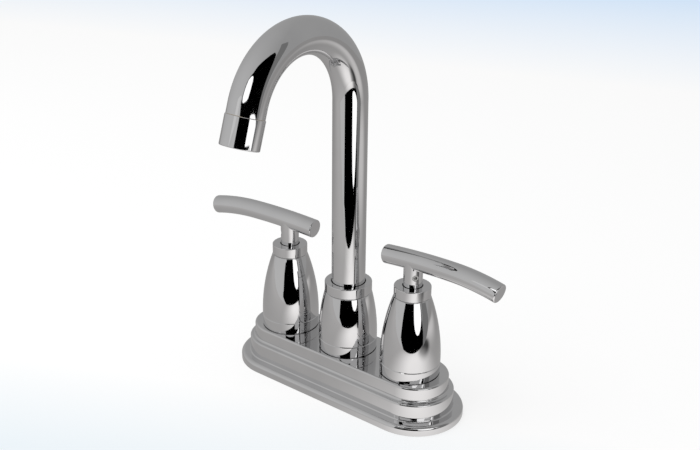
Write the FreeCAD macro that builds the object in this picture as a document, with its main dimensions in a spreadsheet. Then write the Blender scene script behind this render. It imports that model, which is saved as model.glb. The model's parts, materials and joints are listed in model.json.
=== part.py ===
"""Two-handle centreset basin mixer tap with a gooseneck spout.

The frame: +Z is up, the deck that the tap stands on is the plane z = 0, and the origin is on the
spout's axis. The spout reaches towards the user along -Y, the hot handle is at -X, the cold at +X.
Lengths are millimetres and angles are degrees.
"""
import FreeCAD
import Part
import Sketcher
import math
import os

Vector = FreeCAD.Vector
Rotation = FreeCAD.Rotation

# Driving sizes: each is set once and stands for one thing that can be changed by itself.
SIZES = [
    ("handle_spacing", 101.6, "hot axis to cold axis, the four inch centreset standard"),
    # deck plate, three oblong tiers
    ("end_offset", 55.0, "centre of the round ends from the middle of the plate"),
    ("flange_half_width", 31.8, "bottom tier, half of its width"),
    ("flange_height", 6.1, "bottom tier"),
    ("flange_round", 2.6, "rounding of the bottom tier's upper edge"),
    ("middle_half_width", 25.3, "middle tier"),
    ("middle_height", 12.1, "middle tier"),
    ("top_half_width", 21.75, "top tier"),
    ("top_height", 9.8, "top tier"),
    ("tier_round", 1.3, "rounding of the two upper tiers"),
    ("plate_wall", 2.6, "metal over the cavity"),
    ("plate_rim", 3.2, "metal round the gasket"),
    ("plate_hole_gap", 0.3, "round the casting's necks"),
    ("gasket_thickness", 3.0, "set in the underside, flush with the rim"),
    ("gasket_gap", 0.2, "between the gasket and the rim"),
    ("gasket_hole_gap", 0.5, "round the casting's bosses"),
    # brass waterway casting
    ("barrel_r", 15.5, "valve barrels and hub"),
    ("neck_r", 13.0, "threaded necks over the plate"),
    ("valve_neck_height", 16.0, "over the plate"),
    ("hub_neck_height", 22.0, "over the plate"),
    ("boss_r", 13.2, "bosses that reach through the deck's holes"),
    ("boss_drop", 8.0, "below the deck"),
    ("socket_depth", 13.0, "thread in the boss for the shank"),
    ("web_thickness", 3.0, "between the shank and the valve seat"),
    ("inlet_r", 6.0, "hole through the web"),
    ("gallery_r", 7.0, "cross tube from the barrels to the hub"),
    ("gallery_bore_r", 5.0, "cross tube"),
    ("gallery_height", 17.5, "axis over the deck, level with the cartridge's windows"),
    ("chamber_r", 9.5, "valve chamber"),
    ("hub_bore_r", 8.5, "bore that the spout turns in"),
    ("hub_floor", 4.0, "metal under the hub's bore"),
    # shanks and what clamps the tap to a deck
    ("shank_r", 10.45, "half inch pipe thread"),
    ("shank_bore_r", 7.0, "water way"),
    ("shank_drop", 56.0, "below the deck"),
    ("tail_r", 10.2, "lead for the supply nut"),
    ("tail_length", 14.0, "lead for the supply nut"),
    ("tail_chamfer", 1.0, "end of the shank"),
    ("thread_gap", 0.05, "between screwed pieces"),
    ("end_gap", 0.2, "at the inner end of a screwed piece"),
    ("deck_thickness", 20.0, "counter that the nuts are drawn at"),
    ("washer_r", 21.0, "lock washer"),
    ("washer_thickness", 1.5, "lock washer"),
    ("nut_across_flats", 32.0, "lock nut"),
    ("nut_height", 9.0, "lock nut"),
    ("nut_chamfer", 1.2, "corners of the lock nut"),
    # base rings, domes and collars
    ("ring_height", 7.8, "base ring, plate to seam"),
    ("ring_foot_r", 18.3, "base ring at the plate"),
    ("ring_side_curve_r", 40.0, "outer side of the base ring"),
    ("ring_spigot_height", 4.0, "inside the dome"),
    ("ring_spigot_wall", 1.7, "inside the dome"),
    ("seam_chamfer", 0.25, "edges at the seam"),
    ("dome_r", 19.4, "dome at its widest"),
    ("dome_belly_rise", 1.2, "widest place over the seam"),
    ("dome_wall", 2.2, "sheet of the dome"),
    ("dome_web", 3.4, "thick top of the dome, where the collar is screwed in"),
    ("handle_dome_height", 52.9, "plate to collar"),
    ("spout_dome_height", 40.6, "plate to collar"),
    ("collar_height", 7.0, "collar"),
    ("collar_chamfer", 0.5, "edge of the collar's top"),
    ("collar_lip", 1.3, "lip over the glide ring"),
    ("collar_lip_gap", 0.55, "between the lip and what turns in it"),
    ("spigot_wall", 1.2, "screwed part of the collar"),
    ("spigot_length", 5.0, "screwed part of the collar"),
    ("handle_shoulder", 3.04, "handle collar, beyond its screwed part"),
    ("spout_shoulder", 1.86, "spout collar, beyond its screwed part"),
    ("seat_gap", 0.05, "between pieces pushed into each other"),
    ("glide_wall", 1.3, "glide ring"),
    ("glide_gap", 0.06, "between a glide ring and what turns in it"),
    ("glide_height", 8.0, "glide ring"),
    # quarter turn cartridge
    ("seal_thickness", 2.0, "rubber under the fixed disc"),
    ("seal_inner_r", 6.2, "rubber under the fixed disc"),
    ("disc_r", 8.0, "ceramic discs"),
    ("disc_thickness", 3.0, "ceramic discs"),
    ("disc_film", 0.02, "water film between the discs"),
    ("disc_side_gap", 0.3, "discs in the housing"),
    ("port_inner_r", 2.2, "ports in the discs"),
    ("port_outer_r", 6.6, "ports in the discs"),
    ("port_half_angle", 36.0, "ports in the discs"),
    ("housing_foot_gap", 0.5, "housing over the casting's seat"),
    ("drive_plate_r", 6.4, "foot of the stem"),
    ("drive_plate_thickness", 2.4, "foot of the stem"),
    ("lug_r", 7.9, "stop lug of the stem"),
    ("lug_half_width", 3.0, "stop lug of the stem"),
    ("tang_width", 2.4, "tangs that turn the moving disc"),
    ("tang_depth", 1.4, "tangs that turn the moving disc"),
    ("tang_inner_r", 4.6, "tangs that turn the moving disc"),
    ("tang_gap", 0.1, "round the tangs"),
    ("stop_inner_r", 6.9, "stop ribs in the housing"),
    ("stop_half_width", 1.0, "stop ribs in the housing"),
    ("stop_lift", 0.3, "stop ribs over the moving disc"),
    ("stop_spare_angle", 2.0, "lug to rib at each end of the travel"),
    ("handle_travel", 90.0, "quarter turn"),
    ("stem_collar_r", 6.3, "thrust collar of the stem"),
    ("stem_collar_height", 5.5, "thrust collar of the stem"),
    ("thrust_gap", 0.05, "thrust faces"),
    ("window_width", 6.0, "outlet windows of the housing"),
    ("window_height", 5.0, "outlet windows of the housing"),
    ("key_inner_r", 7.1, "keys that hold the fixed disc"),
    ("key_half_width", 1.5, "keys that hold the fixed disc"),
    ("key_height", 2.5, "keys that hold the fixed disc"),
    ("key_gap", 0.1, "round the keys"),
    ("stem_r", 4.95, "journal"),
    ("journal_gap", 0.05, "journals"),
    ("ring_section_r", 0.75, "O-rings"),
    ("ring_squeeze_gap", 0.05, "O-rings to the bore"),
    ("groove_half_width", 1.0, "grooves for the O-rings"),
    ("groove_floor_gap", 0.1, "under the O-rings"),
    ("stem_ring_drop", 8.0, "upper stem ring under the housing's top"),
    ("ring_pitch", 4.5, "from O-ring to O-ring"),
    ("hex_across_flats", 22.0, "housing head"),
    ("hex_height", 6.0, "housing head"),
    ("housing_tube_r", 7.5, "guide over the head"),
    ("housing_tube_height", 6.0, "guide over the head"),
    ("clip_lift", 0.2, "clip over the housing"),
    ("clip_thickness", 1.0, "clip"),
    ("clip_groove_r", 4.2, "clip"),
    ("clip_outer_r", 6.4, "clip"),
    ("clip_side_gap", 0.05, "clip in its groove"),
    ("clip_mouth_half", 2.6, "open side of the clip"),
    ("stem_shoulder_rise", 2.0, "journal over the clip"),
    ("spline_r", 3.4, "toothed top of the stem"),
    ("spline_count", 12, "teeth"),
    ("spline_cut", 0.5, "depth of the teeth"),
    ("stem_end_gap", 0.4, "stem under the end of its socket"),
    # handles
    ("post_r", 6.05, "post of the handle"),
    ("post_bore_gap", 0.1, "round the stem's teeth"),
    ("post_clear", 4.5, "post over the stem's shoulder"),
    ("lever_rise", 17.7, "crest of the lever's axis over the collar"),
    ("rod_r", 6.1, "lever rod"),
    ("rod_edge", 0.5, "chamfer at the ends of the rod"),
    ("crest_reach", 29.5, "crest outboard of the post"),
    ("inner_curve_r", 480.0, "lever from its short end to the crest"),
    ("outer_curve_r", 148.0, "lever from the crest to its long end"),
    ("short_end", 21.0, "inboard of the post"),
    ("long_end", 62.4, "outboard of the post"),
    ("socket_rise", 0.5, "stem socket into the rod"),
    ("screw_r", 2.0, "set screw"),
    ("screw_drop", 3.6, "set screw under the rod's lower side"),
    ("screw_recess", 0.3, "set screw in the post"),
    ("screw_hex_flats", 2.0, "key socket"),
    ("screw_hex_depth", 1.2, "key socket"),
    ("screw_angle", 39.0, "from the lever towards the user"),
    ("hot_lever_turn", 4.8, "hot lever from its stop, as photographed"),
    ("cold_lever_turn", 1.5, "cold lever from its stop, as photographed"),
    # spout
    ("tube_r", 11.0, "spout tube"),
    ("tube_wall", 1.2, "spout tube"),
    ("column_rise", 121.5, "collar to the start of the bend"),
    ("bend_r", 45.5, "axis of the bend"),
    ("bend_angle", 161.4, "the outlet leans outwards by the rest of 180"),
    ("tip_length", 5.7, "straight end of the tube"),
    ("thrust_washer_thickness", 1.0, "under the spout's flange"),
    ("flange_thickness", 3.0, "flange of the adaptor"),
    ("flange_side_gap", 0.2, "flange in the necks' diameter"),
    ("nut_overlap", 6.5, "retaining nut down the neck"),
    ("nut_wall", 2.2, "retaining nut"),
    ("nut_lip", 2.6, "retaining nut over the flange"),
    ("nut_lip_gap", 0.5, "round the tube"),
    ("nut_notch_half", 2.0, "key notches"),
    ("nut_notch_depth", 3.0, "key notches"),
    ("spigot_reach", 27.0, "adaptor down the hub"),
    ("adaptor_bore_r", 5.2, "adaptor"),
    ("adaptor_sleeve", 10.0, "adaptor up the tube"),
    ("braze_gap", 0.03, "adaptor and ferrule in the tube"),
    ("spout_ring_drop", 8.0, "upper spout ring under the neck's top"),
    # outlet
    ("ferrule_stop", 0.5, "ferrule short of the bend"),
    ("ferrule_outside", 8.0, "threaded end of the ferrule"),
    ("ferrule_thread_r", 10.35, "threaded end of the ferrule"),
    ("ferrule_bore_r", 8.0, "ferrule"),
    ("shell_r", 11.4, "aerator shell"),
    ("shell_length", 17.4, "aerator shell"),
    ("shell_bore_r", 9.95, "aerator shell"),
    ("shell_lip", 1.6, "bottom of the shell"),
    ("shell_mouth_r", 9.2, "bottom of the shell"),
    ("shell_edge", 0.6, "bottom edge of the shell"),
    ("shell_seam_gap", 0.15, "between the tube and the shell"),
    ("outlet_washer_thickness", 1.8, "rubber over the insert"),
    ("outlet_washer_bore_r", 7.4, "rubber over the insert"),
    ("insert_hole_r", 0.85, "jets"),
    ("insert_ring_one_r", 3.1, "inner ring of jets"),
    ("insert_ring_two_r", 6.2, "outer ring of jets"),
]


def collar_and_dome_places(kind, turning_r):
    """The fits of one kind of collar round what turns in it, and the dome whose side runs up to it."""
    return [
        (f"{kind}_lip_r", f"{turning_r} + collar_lip_gap"),
        (f"{kind}_glide_bore_r", f"{turning_r} + glide_gap"),
        (f"{kind}_glide_r", f"{kind}_glide_bore_r + glide_wall"),
        (f"{kind}_seat_r", f"{kind}_glide_r + seat_gap"),
        (f"{kind}_spigot_r", f"{kind}_seat_r + spigot_wall"),
        (f"{kind}_collar_r", f"{kind}_spigot_r + {kind}_shoulder"),
        (f"{kind}_dome_hole_r", f"{kind}_spigot_r + thread_gap"),
        (f"{kind}_dome_top_z", f"plate_top_z + {kind}_dome_height"),
        (f"{kind}_dome_web_z", f"{kind}_dome_top_z - dome_web"),
        (f"{kind}_dome_rise", f"{kind}_dome_top_z - belly_z"),
        (f"{kind}_dome_inset", f"dome_r - {kind}_collar_r"),
        (f"{kind}_dome_curve_r", f"({kind}_dome_rise ^ 2 + {kind}_dome_inset ^ 2) / (2 * {kind}_dome_inset)"),
        (f"{kind}_dome_inner_curve_r", f"{kind}_dome_curve_r - dome_wall"),
        (f"{kind}_dome_web_rise", f"{kind}_dome_web_z - belly_z"),
        (f"{kind}_dome_web_r", f"dome_r - {kind}_dome_curve_r"
                               f" + sqrt({kind}_dome_inner_curve_r ^ 2 - {kind}_dome_web_rise ^ 2)"),
        (f"{kind}_collar_top_z", f"{kind}_dome_top_z + collar_height"),
        (f"{kind}_collar_low_z", f"{kind}_collar_top_z - collar_lip"),
        (f"{kind}_collar_edge_z", f"{kind}_collar_top_z - collar_chamfer"),
        (f"{kind}_collar_edge_r", f"{kind}_collar_r - collar_chamfer"),
        (f"{kind}_spigot_z", f"{kind}_dome_top_z - spigot_length"),
        (f"{kind}_glide_z", f"{kind}_collar_low_z - glide_height"),
    ]


# Worked-out places and fits, in order: a name, and its formula from the sizes over it.
PLACES = [
    ("cold_x", "handle_spacing / 2"),
    ("hot_x", "0 - handle_spacing / 2"),
    # deck plate
    ("middle_top_z", "flange_height + middle_height"),
    ("plate_top_z", "middle_top_z + top_height"),
    ("cavity_half_width", "middle_half_width - plate_wall"),
    ("cavity_depth", "middle_top_z - plate_wall"),
    ("upper_cavity_half_width", "top_half_width - plate_wall"),
    ("upper_cavity_depth", "plate_top_z - plate_wall"),
    ("gasket_pocket_half_width", "flange_half_width - plate_rim"),
    ("gasket_half_width", "gasket_pocket_half_width - gasket_gap"),
    ("gasket_hole_r", "boss_r + gasket_hole_gap"),
    ("plate_hole_r", "neck_r + plate_hole_gap"),
    # casting
    ("barrel_height", "upper_cavity_depth - gasket_thickness"),
    ("valve_neck_top_z", "plate_top_z + valve_neck_height"),
    ("hub_neck_top_z", "plate_top_z + hub_neck_height"),
    ("valve_neck_length", "valve_neck_top_z - upper_cavity_depth"),
    ("hub_neck_length", "hub_neck_top_z - upper_cavity_depth"),
    ("boss_length", "boss_drop + gasket_thickness"),
    ("boss_bottom_z", "0 - boss_drop"),
    ("socket_r", "shank_r + thread_gap"),
    ("seat_z", "socket_depth + web_thickness - boss_drop"),
    ("chamber_depth", "valve_neck_top_z - seat_z"),
    ("inlet_depth", "valve_neck_top_z - seat_z + web_thickness"),
    ("hub_bore_depth", "hub_neck_top_z - gasket_thickness - hub_floor"),
    # shank, washer, nut
    ("shank_top_z", "socket_depth - boss_drop - end_gap"),
    ("shank_bottom_z", "0 - shank_drop"),
    ("tail_top_z", "tail_length - shank_drop"),
    ("tail_end_r", "tail_r - tail_chamfer"),
    ("tail_edge_z", "tail_chamfer - shank_drop"),
    ("washer_top_z", "0 - deck_thickness"),
    ("nut_top_z", "0 - deck_thickness - washer_thickness"),
    ("nut_corner_r", "nut_across_flats / 2 / cos(30)"),
    # base rings and domes
    ("ring_bore_r", "neck_r + thread_gap"),
    ("seam_z", "plate_top_z + ring_height"),
    ("ring_spigot_r", "dome_r - dome_wall - seat_gap"),
    ("ring_spigot_bore_r", "ring_spigot_r - ring_spigot_wall"),
    ("ring_spigot_top_z", "seam_z + ring_spigot_height"),
    ("seam_r", "dome_r - seam_chamfer"),
    ("seam_low_z", "seam_z - seam_chamfer"),
    ("seam_high_z", "seam_z + seam_chamfer"),
    ("belly_z", "seam_z + dome_belly_rise"),
    ("dome_inner_r", "dome_r - dome_wall"),
    *collar_and_dome_places("handle", "post_r"),
    *collar_and_dome_places("spout", "tube_r"),
    # cartridge
    ("housing_r", "chamber_r - thread_gap"),
    ("housing_foot_z", "seat_z + housing_foot_gap"),
    ("housing_bore_r", "disc_r + disc_side_gap"),
    ("fixed_disc_z", "seat_z + seal_thickness"),
    ("moving_disc_z", "fixed_disc_z + disc_thickness + disc_film"),
    ("moving_disc_top_z", "moving_disc_z + disc_thickness"),
    ("drive_plate_top_z", "moving_disc_top_z + drive_plate_thickness"),
    ("stem_collar_top_z", "drive_plate_top_z + stem_collar_height"),
    ("housing_shoulder_z", "stem_collar_top_z + thrust_gap"),
    ("journal_r", "stem_r + journal_gap"),
    ("hex_top_z", "valve_neck_top_z + hex_height"),
    ("housing_top_z", "hex_top_z + housing_tube_height"),
    ("hex_corner_r", "hex_across_flats / 2 / cos(30)"),
    ("port_near_across", "port_inner_r * cos(port_half_angle)"),
    ("port_near_up", "port_inner_r * sin(port_half_angle)"),
    ("port_near_down", "0 - port_near_up"),
    ("port_far_across", "port_outer_r * cos(port_half_angle)"),
    ("port_far_up", "port_outer_r * sin(port_half_angle)"),
    ("port_far_down", "0 - port_far_up"),
    ("tang_half_width", "tang_width / 2"),
    ("tang_low_half", "0 - tang_half_width"),
    ("tang_outer_r", "drive_plate_r - tang_gap"),
    ("notch_half_width", "tang_half_width + tang_gap"),
    ("notch_low_half", "0 - notch_half_width"),
    ("notch_inner_r", "tang_inner_r - tang_gap"),
    ("notch_outer_r", "drive_plate_r"),
    ("notch_depth", "tang_depth + tang_gap"),
    ("lug_low_half", "0 - lug_half_width"),
    ("lug_corner_across", "sqrt(lug_r ^ 2 - lug_half_width ^ 2)"),
    ("lug_inner_r", "drive_plate_r / 2"),
    ("stop_low_half", "0 - stop_half_width"),
    ("stop_outer_r", "(housing_bore_r + housing_r) / 2"),
    ("stop_z", "moving_disc_top_z + stop_lift"),
    ("stop_length", "housing_shoulder_z - stop_z"),
    ("stop_turn", "(asin(lug_half_width / stop_inner_r) + asin(stop_half_width / stop_inner_r)) / 1 deg"
                  " + stop_spare_angle"),
    ("stop_spread", "360 - handle_travel - 2 * stop_turn"),
    ("window_low_z", "housing_shoulder_z - window_height"),
    ("window_half", "window_width / 2"),
    ("window_low_half", "0 - window_half"),
    ("key_low_half", "0 - key_half_width"),
    ("key_slot_half", "key_half_width + key_gap"),
    ("key_slot_low_half", "0 - key_slot_half"),
    ("key_slot_inner_r", "key_inner_r - key_gap"),
    ("ring_centre_r", "journal_r - ring_squeeze_gap - ring_section_r"),
    ("groove_r", "ring_centre_r - ring_section_r - groove_floor_gap"),
    ("upper_ring_z", "housing_top_z - stem_ring_drop"),
    ("upper_groove_top_z", "upper_ring_z + groove_half_width"),
    ("upper_groove_low_z", "upper_ring_z - groove_half_width"),
    ("lower_ring_z", "upper_ring_z - ring_pitch"),
    ("lower_groove_top_z", "lower_ring_z + groove_half_width"),
    ("lower_groove_low_z", "lower_ring_z - groove_half_width"),
    ("clip_z", "housing_top_z + clip_lift"),
    ("clip_top_z", "clip_z + clip_thickness"),
    ("clip_inner_r", "clip_groove_r + clip_side_gap"),
    ("clip_groove_low_z", "clip_z - clip_side_gap"),
    ("clip_groove_top_z", "clip_top_z + clip_side_gap"),
    ("clip_mouth_low", "0 - clip_mouth_half"),
    ("stem_shoulder_z", "clip_top_z + stem_shoulder_rise"),
    # handle
    ("lever_crest_z", "handle_collar_top_z + lever_rise"),
    ("rod_post_z", "lever_crest_z - inner_curve_r + sqrt(inner_curve_r ^ 2 - crest_reach ^ 2)"),
    ("short_end_across", "0 - short_end"),
    ("short_end_z",
     "lever_crest_z - inner_curve_r + sqrt(inner_curve_r ^ 2 - (crest_reach + short_end) ^ 2)"),
    ("long_end_z",
     "lever_crest_z - outer_curve_r + sqrt(outer_curve_r ^ 2 - (long_end - crest_reach) ^ 2)"),
    ("post_bottom_z", "stem_shoulder_z + post_clear"),
    ("post_length", "rod_post_z - post_bottom_z"),
    ("post_bore_r", "spline_r + post_bore_gap"),
    ("rod_under_z", "rod_post_z - rod_r"),
    ("post_bore_length", "rod_under_z + socket_rise - post_bottom_z"),
    ("stem_top_z", "rod_under_z + socket_rise - stem_end_gap"),
    ("spline_length", "stem_top_z - stem_shoulder_z"),
    ("spline_cut_r", "spline_r - spline_cut"),
    ("spline_cut_half", "spline_r * sin(90 / spline_count)"),
    ("spline_cut_low_half", "0 - spline_cut_half"),
    ("spline_cut_outer_r", "spline_r + spline_cut"),
    ("screw_z", "rod_under_z - screw_drop"),
    ("screw_hole_r", "screw_r + thread_gap"),
    ("screw_hole_depth", "post_r + screw_r"),
    ("screw_inner_end", "spline_r + thread_gap"),
    ("screw_length", "post_r - screw_recess - screw_inner_end"),
    ("screw_outer_end", "screw_inner_end + screw_length"),
    ("screw_hex_corner_r", "screw_hex_flats / 2 / cos(30)"),
    ("cold_screw_turn", "90 - screw_angle"),
    ("hot_screw_turn", "90 + screw_angle"),
    ("cold_handle_turn", "0 - cold_lever_turn"),
    ("hot_handle_turn", "180 + hot_lever_turn"),
    ("hot_housing_turn", "360 - handle_travel"),
    # spout
    ("flange_low_z", "hub_neck_top_z + thrust_washer_thickness + thrust_gap"),
    ("flange_top_z", "flange_low_z + flange_thickness"),
    ("flange_r", "neck_r - flange_side_gap"),
    ("spigot_r", "hub_bore_r - journal_gap"),
    ("spigot_bottom_z", "flange_low_z - spigot_reach"),
    ("washer_bore_r", "hub_bore_r + seat_gap"),
    ("washer_outer_r", "neck_r - seat_gap"),
    ("thrust_washer_top_z", "hub_neck_top_z + thrust_washer_thickness"),
    ("tube_bore_r", "tube_r - tube_wall"),
    ("sleeve_r", "tube_bore_r - braze_gap"),
    ("sleeve_top_z", "flange_top_z + adaptor_sleeve"),
    ("spout_ring_centre_r", "hub_bore_r - ring_squeeze_gap - ring_section_r"),
    ("spout_groove_r", "spout_ring_centre_r - ring_section_r - groove_floor_gap"),
    ("spout_upper_ring_z", "hub_neck_top_z - spout_ring_drop"),
    ("spout_upper_groove_top_z", "spout_upper_ring_z + groove_half_width"),
    ("spout_upper_groove_low_z", "spout_upper_ring_z - groove_half_width"),
    ("spout_lower_ring_z", "spout_upper_ring_z - ring_pitch"),
    ("spout_lower_groove_top_z", "spout_lower_ring_z + groove_half_width"),
    ("spout_lower_groove_low_z", "spout_lower_ring_z - groove_half_width"),
    ("nut_bottom_z", "hub_neck_top_z - nut_overlap"),
    ("nut_bore_r", "neck_r + thread_gap"),
    ("nut_outer_r", "nut_bore_r + nut_wall"),
    ("nut_lip_z", "flange_top_z + thrust_gap"),
    ("retaining_nut_top_z", "nut_lip_z + nut_lip"),
    ("nut_lip_r", "tube_r + nut_lip_gap"),
    ("nut_notch_low_half", "0 - nut_notch_half"),
    ("nut_notch_outer_r", "nut_outer_r + nut_wall"),
    ("column_top_z", "spout_collar_top_z + column_rise"),
    ("bend_end_y", "bend_r * cos(bend_angle) - bend_r"),
    ("bend_end_z", "column_top_z + bend_r * sin(bend_angle)"),
    ("outlet_y", "bend_end_y - tip_length * sin(bend_angle)"),
    ("outlet_z", "bend_end_z + tip_length * cos(bend_angle)"),
    # outlet, measured along the water from the end of the tube
    ("ferrule_top", "ferrule_stop - tip_length"),
    ("shell_thread_r", "ferrule_thread_r + thread_gap"),
    ("shell_top_edge", "shell_seam_gap + seam_chamfer"),
    ("shell_top_r", "shell_r - seam_chamfer"),
    ("outlet_washer_end", "ferrule_outside + outlet_washer_thickness"),
    ("shell_lip_face", "shell_length - shell_lip"),
    ("insert_height", "shell_lip_face - outlet_washer_end"),
    ("shell_edge_r", "shell_r - shell_edge"),
    ("shell_edge_up", "shell_length - shell_edge"),
    ("insert_r", "shell_bore_r - seat_gap"),
]

doc = FreeCAD.newDocument("basin_mixer_tap")
sheet = doc.addObject("Spreadsheet::Sheet", "sizes")
nodes = []


def fill_sheet():
    """Write the driving sizes as plain numbers and the places as formulas, each with its alias."""
    for row, (name, value, note) in enumerate(SIZES, start=1):
        sheet.set(f"A{row}", name)
        sheet.set(f"B{row}", str(value))
        sheet.set(f"C{row}", note)
        sheet.setAlias(f"B{row}", name)
    for row, (name, formula) in enumerate(PLACES, start=len(SIZES) + 1):
        sheet.set(f"A{row}", name)
        sheet.set(f"B{row}", "=" + formula)
        sheet.setAlias(f"B{row}", name)
    doc.recompute()


def size(name):
    """The number behind a name in the sheet; the word zero stands for a place on an axis."""
    return 0.0 if name == "zero" else float(sheet.get(name))


def bind(thing, prop, name):
    """Tie one property of an object to a named size."""
    thing.setExpression(prop, "sizes." + name)


def new_body(label, x=None, turn=None):
    """A body that is drawn about its own vertical axis, then stood at x and turned about it."""
    body = doc.addObject("PartDesign::Body", label)
    body.Label = label
    if x:
        bind(body, "Placement.Base.x", x)
    if turn:
        bind(body, "Placement.Rotation.Angle", turn)
    return body


def keep(thing):
    """Mark an object as one of the tap's pieces, to be written under its label."""
    nodes.append(thing)
    return thing


def new_sketch(body, name, role="XY_Plane", height=None, turn=None):
    """A sketch on one of the body's own planes, lifted to a height or turned about the vertical."""
    sketch = body.newObject("Sketcher::SketchObject", name)
    plane = next(item for item in body.Origin.OriginFeatures if item.Role == role)
    sketch.AttachmentSupport = [(plane, "")]
    sketch.MapMode = "FlatFace"
    if turn:
        axis = Vector(0, 1, 0) if role == "XZ_Plane" else Vector(0, 0, 1)
        sketch.AttachmentOffset = FreeCAD.Placement(Vector(), Rotation(axis, size(turn)))
        bind(sketch, "AttachmentOffset.Rotation.Angle", turn)
    if height and turn and role == "XZ_Plane":
        sketch.setExpression("AttachmentOffset.Base.x", f"sizes.{height} * sin(sizes.{turn})")
        sketch.setExpression("AttachmentOffset.Base.z", f"sizes.{height} * cos(sizes.{turn})")
    elif height:
        bind(sketch, "AttachmentOffset.Base.z", height)
    return sketch


def constrain(sketch, kind, *where, name=None):
    """Add one constraint; a named one is tied to that size."""
    if name is None:
        sketch.addConstraint(Sketcher.Constraint(kind, *where))
        return
    index = sketch.addConstraint(Sketcher.Constraint(kind, *where, size(name)))
    sketch.renameConstraint(index, f"{kind}_{index}")
    sketch.setExpression(f"Constraints.{kind}_{index}", "sizes." + name)


def pin_point(sketch, geometry, end, across, up):
    """Hold a point at its named distances from the sketch's origin."""
    if across == "zero":
        constrain(sketch, "PointOnObject", geometry, end, -2)
    else:
        constrain(sketch, "DistanceX", -1, 1, geometry, end, name=across)
    if up == "zero":
        constrain(sketch, "PointOnObject", geometry, end, -1)
    else:
        constrain(sketch, "DistanceY", -1, 1, geometry, end, name=up)


def arc_between(start, end, radius, bend):
    """The arc of under a half circle that leaves start to the left (1) or the right (-1)."""
    chord = end - start
    side = Vector(-chord.y, chord.x, 0).normalize() * bend
    centre = (start + end) / 2 + side * math.sqrt(radius ** 2 - (chord.Length / 2) ** 2)
    first, last = (start, end) if bend > 0 else (end, start)
    from_angle = math.atan2(first.y - centre.y, first.x - centre.x)
    to_angle = math.atan2(last.y - centre.y, last.x - centre.x)
    circle = Part.Circle(centre, Vector(0, 0, 1), radius)
    return Part.ArcOfCircle(circle, from_angle, to_angle)


def draw_outline(sketch, corners, closed=True):
    """Join named corners by lines, or by an arc where a corner also gives a radius and a bend."""
    places = [Vector(size(corner[0]), size(corner[1]), 0) for corner in corners]
    count = len(corners) if closed else len(corners) - 1
    ends = []
    for index in range(count):
        start = places[index]
        end = places[(index + 1) % len(corners)]
        if len(corners[index]) > 2:
            radius, bend = corners[index][2:]
            sketch.addGeometry(arc_between(start, end, size(radius), bend), False)
            constrain(sketch, "Radius", index, name=radius)
            ends.append((1, 2) if bend > 0 else (2, 1))
        else:
            sketch.addGeometry(Part.LineSegment(start, end), False)
            ends.append((1, 2))
    for index in range(count if closed else count - 1):
        after = (index + 1) % count
        constrain(sketch, "Coincident", index, ends[index][1], after, ends[after][0])
    for index in range(count):
        pin_point(sketch, index, ends[index][0], *corners[index][:2])
    if not closed:
        pin_point(sketch, count - 1, ends[-1][1], *corners[-1][:2])
    return sketch


def draw_circle(sketch, radius, across="zero", up="zero"):
    """A circle of a named radius about a named place."""
    centre = Vector(size(across), size(up), 0)
    index = sketch.addGeometry(Part.Circle(centre, Vector(0, 0, 1), size(radius)), False)
    constrain(sketch, "Radius", index, name=radius)
    pin_point(sketch, index, 3, across, up)
    return sketch


def draw_hexagon(sketch, corner_r, up="zero"):
    """A regular hexagon about a place on the sketch's upright axis, with two corners level."""
    centre = Vector(0, size(up), 0)
    radius = size(corner_r)
    points = [centre + Vector(radius * math.cos(step * math.pi / 3), radius * math.sin(step * math.pi / 3), 0)
              for step in range(6)]
    for index in range(6):
        sketch.addGeometry(Part.LineSegment(points[index], points[(index + 1) % 6]), False)
    for index in range(6):
        constrain(sketch, "Coincident", index, 2, (index + 1) % 6, 1)
    guide = sketch.addGeometry(Part.Circle(centre, Vector(0, 0, 1), radius), True)
    constrain(sketch, "Radius", guide, name=corner_r)
    pin_point(sketch, guide, 3, "zero", up)
    for index in range(6):
        constrain(sketch, "PointOnObject", index, 1, guide)
    for index in range(1, 6):
        constrain(sketch, "Equal", 0, index)
    level = sketch.addGeometry(Part.LineSegment(points[3], points[0]), True)
    constrain(sketch, "Coincident", level, 1, 3, 1)
    constrain(sketch, "Coincident", level, 2, 0, 1)
    constrain(sketch, "Horizontal", level)
    return sketch


def draw_slot(sketch, half_length, radius):
    """An oblong along X: two half circles about half_length, joined by straight sides."""
    reach = size(half_length)
    round_r = size(radius)
    up = Vector(0, 0, 1)
    sketch.addGeometry(Part.ArcOfCircle(Part.Circle(Vector(reach, 0, 0), up, round_r),
                                        -math.pi / 2, math.pi / 2), False)
    sketch.addGeometry(Part.LineSegment(Vector(reach, round_r, 0), Vector(-reach, round_r, 0)), False)
    sketch.addGeometry(Part.ArcOfCircle(Part.Circle(Vector(-reach, 0, 0), up, round_r),
                                        math.pi / 2, 3 * math.pi / 2), False)
    sketch.addGeometry(Part.LineSegment(Vector(-reach, -round_r, 0), Vector(reach, -round_r, 0)), False)
    for index in range(4):
        constrain(sketch, "Tangent", index, 2, (index + 1) % 4, 1)
    constrain(sketch, "PointOnObject", 0, 3, -1)
    constrain(sketch, "Symmetric", 0, 3, 2, 3, -1, 1)
    constrain(sketch, "DistanceX", -1, 1, 0, 3, name=half_length)
    constrain(sketch, "Radius", 0, name=radius)
    return sketch


def revolve(body, name, corners):
    """Turn an outline of (radius, height) corners about the body's vertical axis."""
    sketch = draw_outline(new_sketch(body, name + "_profile", "XZ_Plane"), corners)
    feature = body.newObject("PartDesign::Revolution", name)
    feature.Profile = sketch
    feature.ReferenceAxis = (sketch, ["V_Axis"])
    feature.Angle = 360
    return feature


def pad(body, name, sketch, length, down=False):
    """Raise a sketch by a named length."""
    feature = body.newObject("PartDesign::Pad", name)
    feature.Profile = sketch
    bind(feature, "Length", length)
    feature.Reversed = down
    return feature


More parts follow.
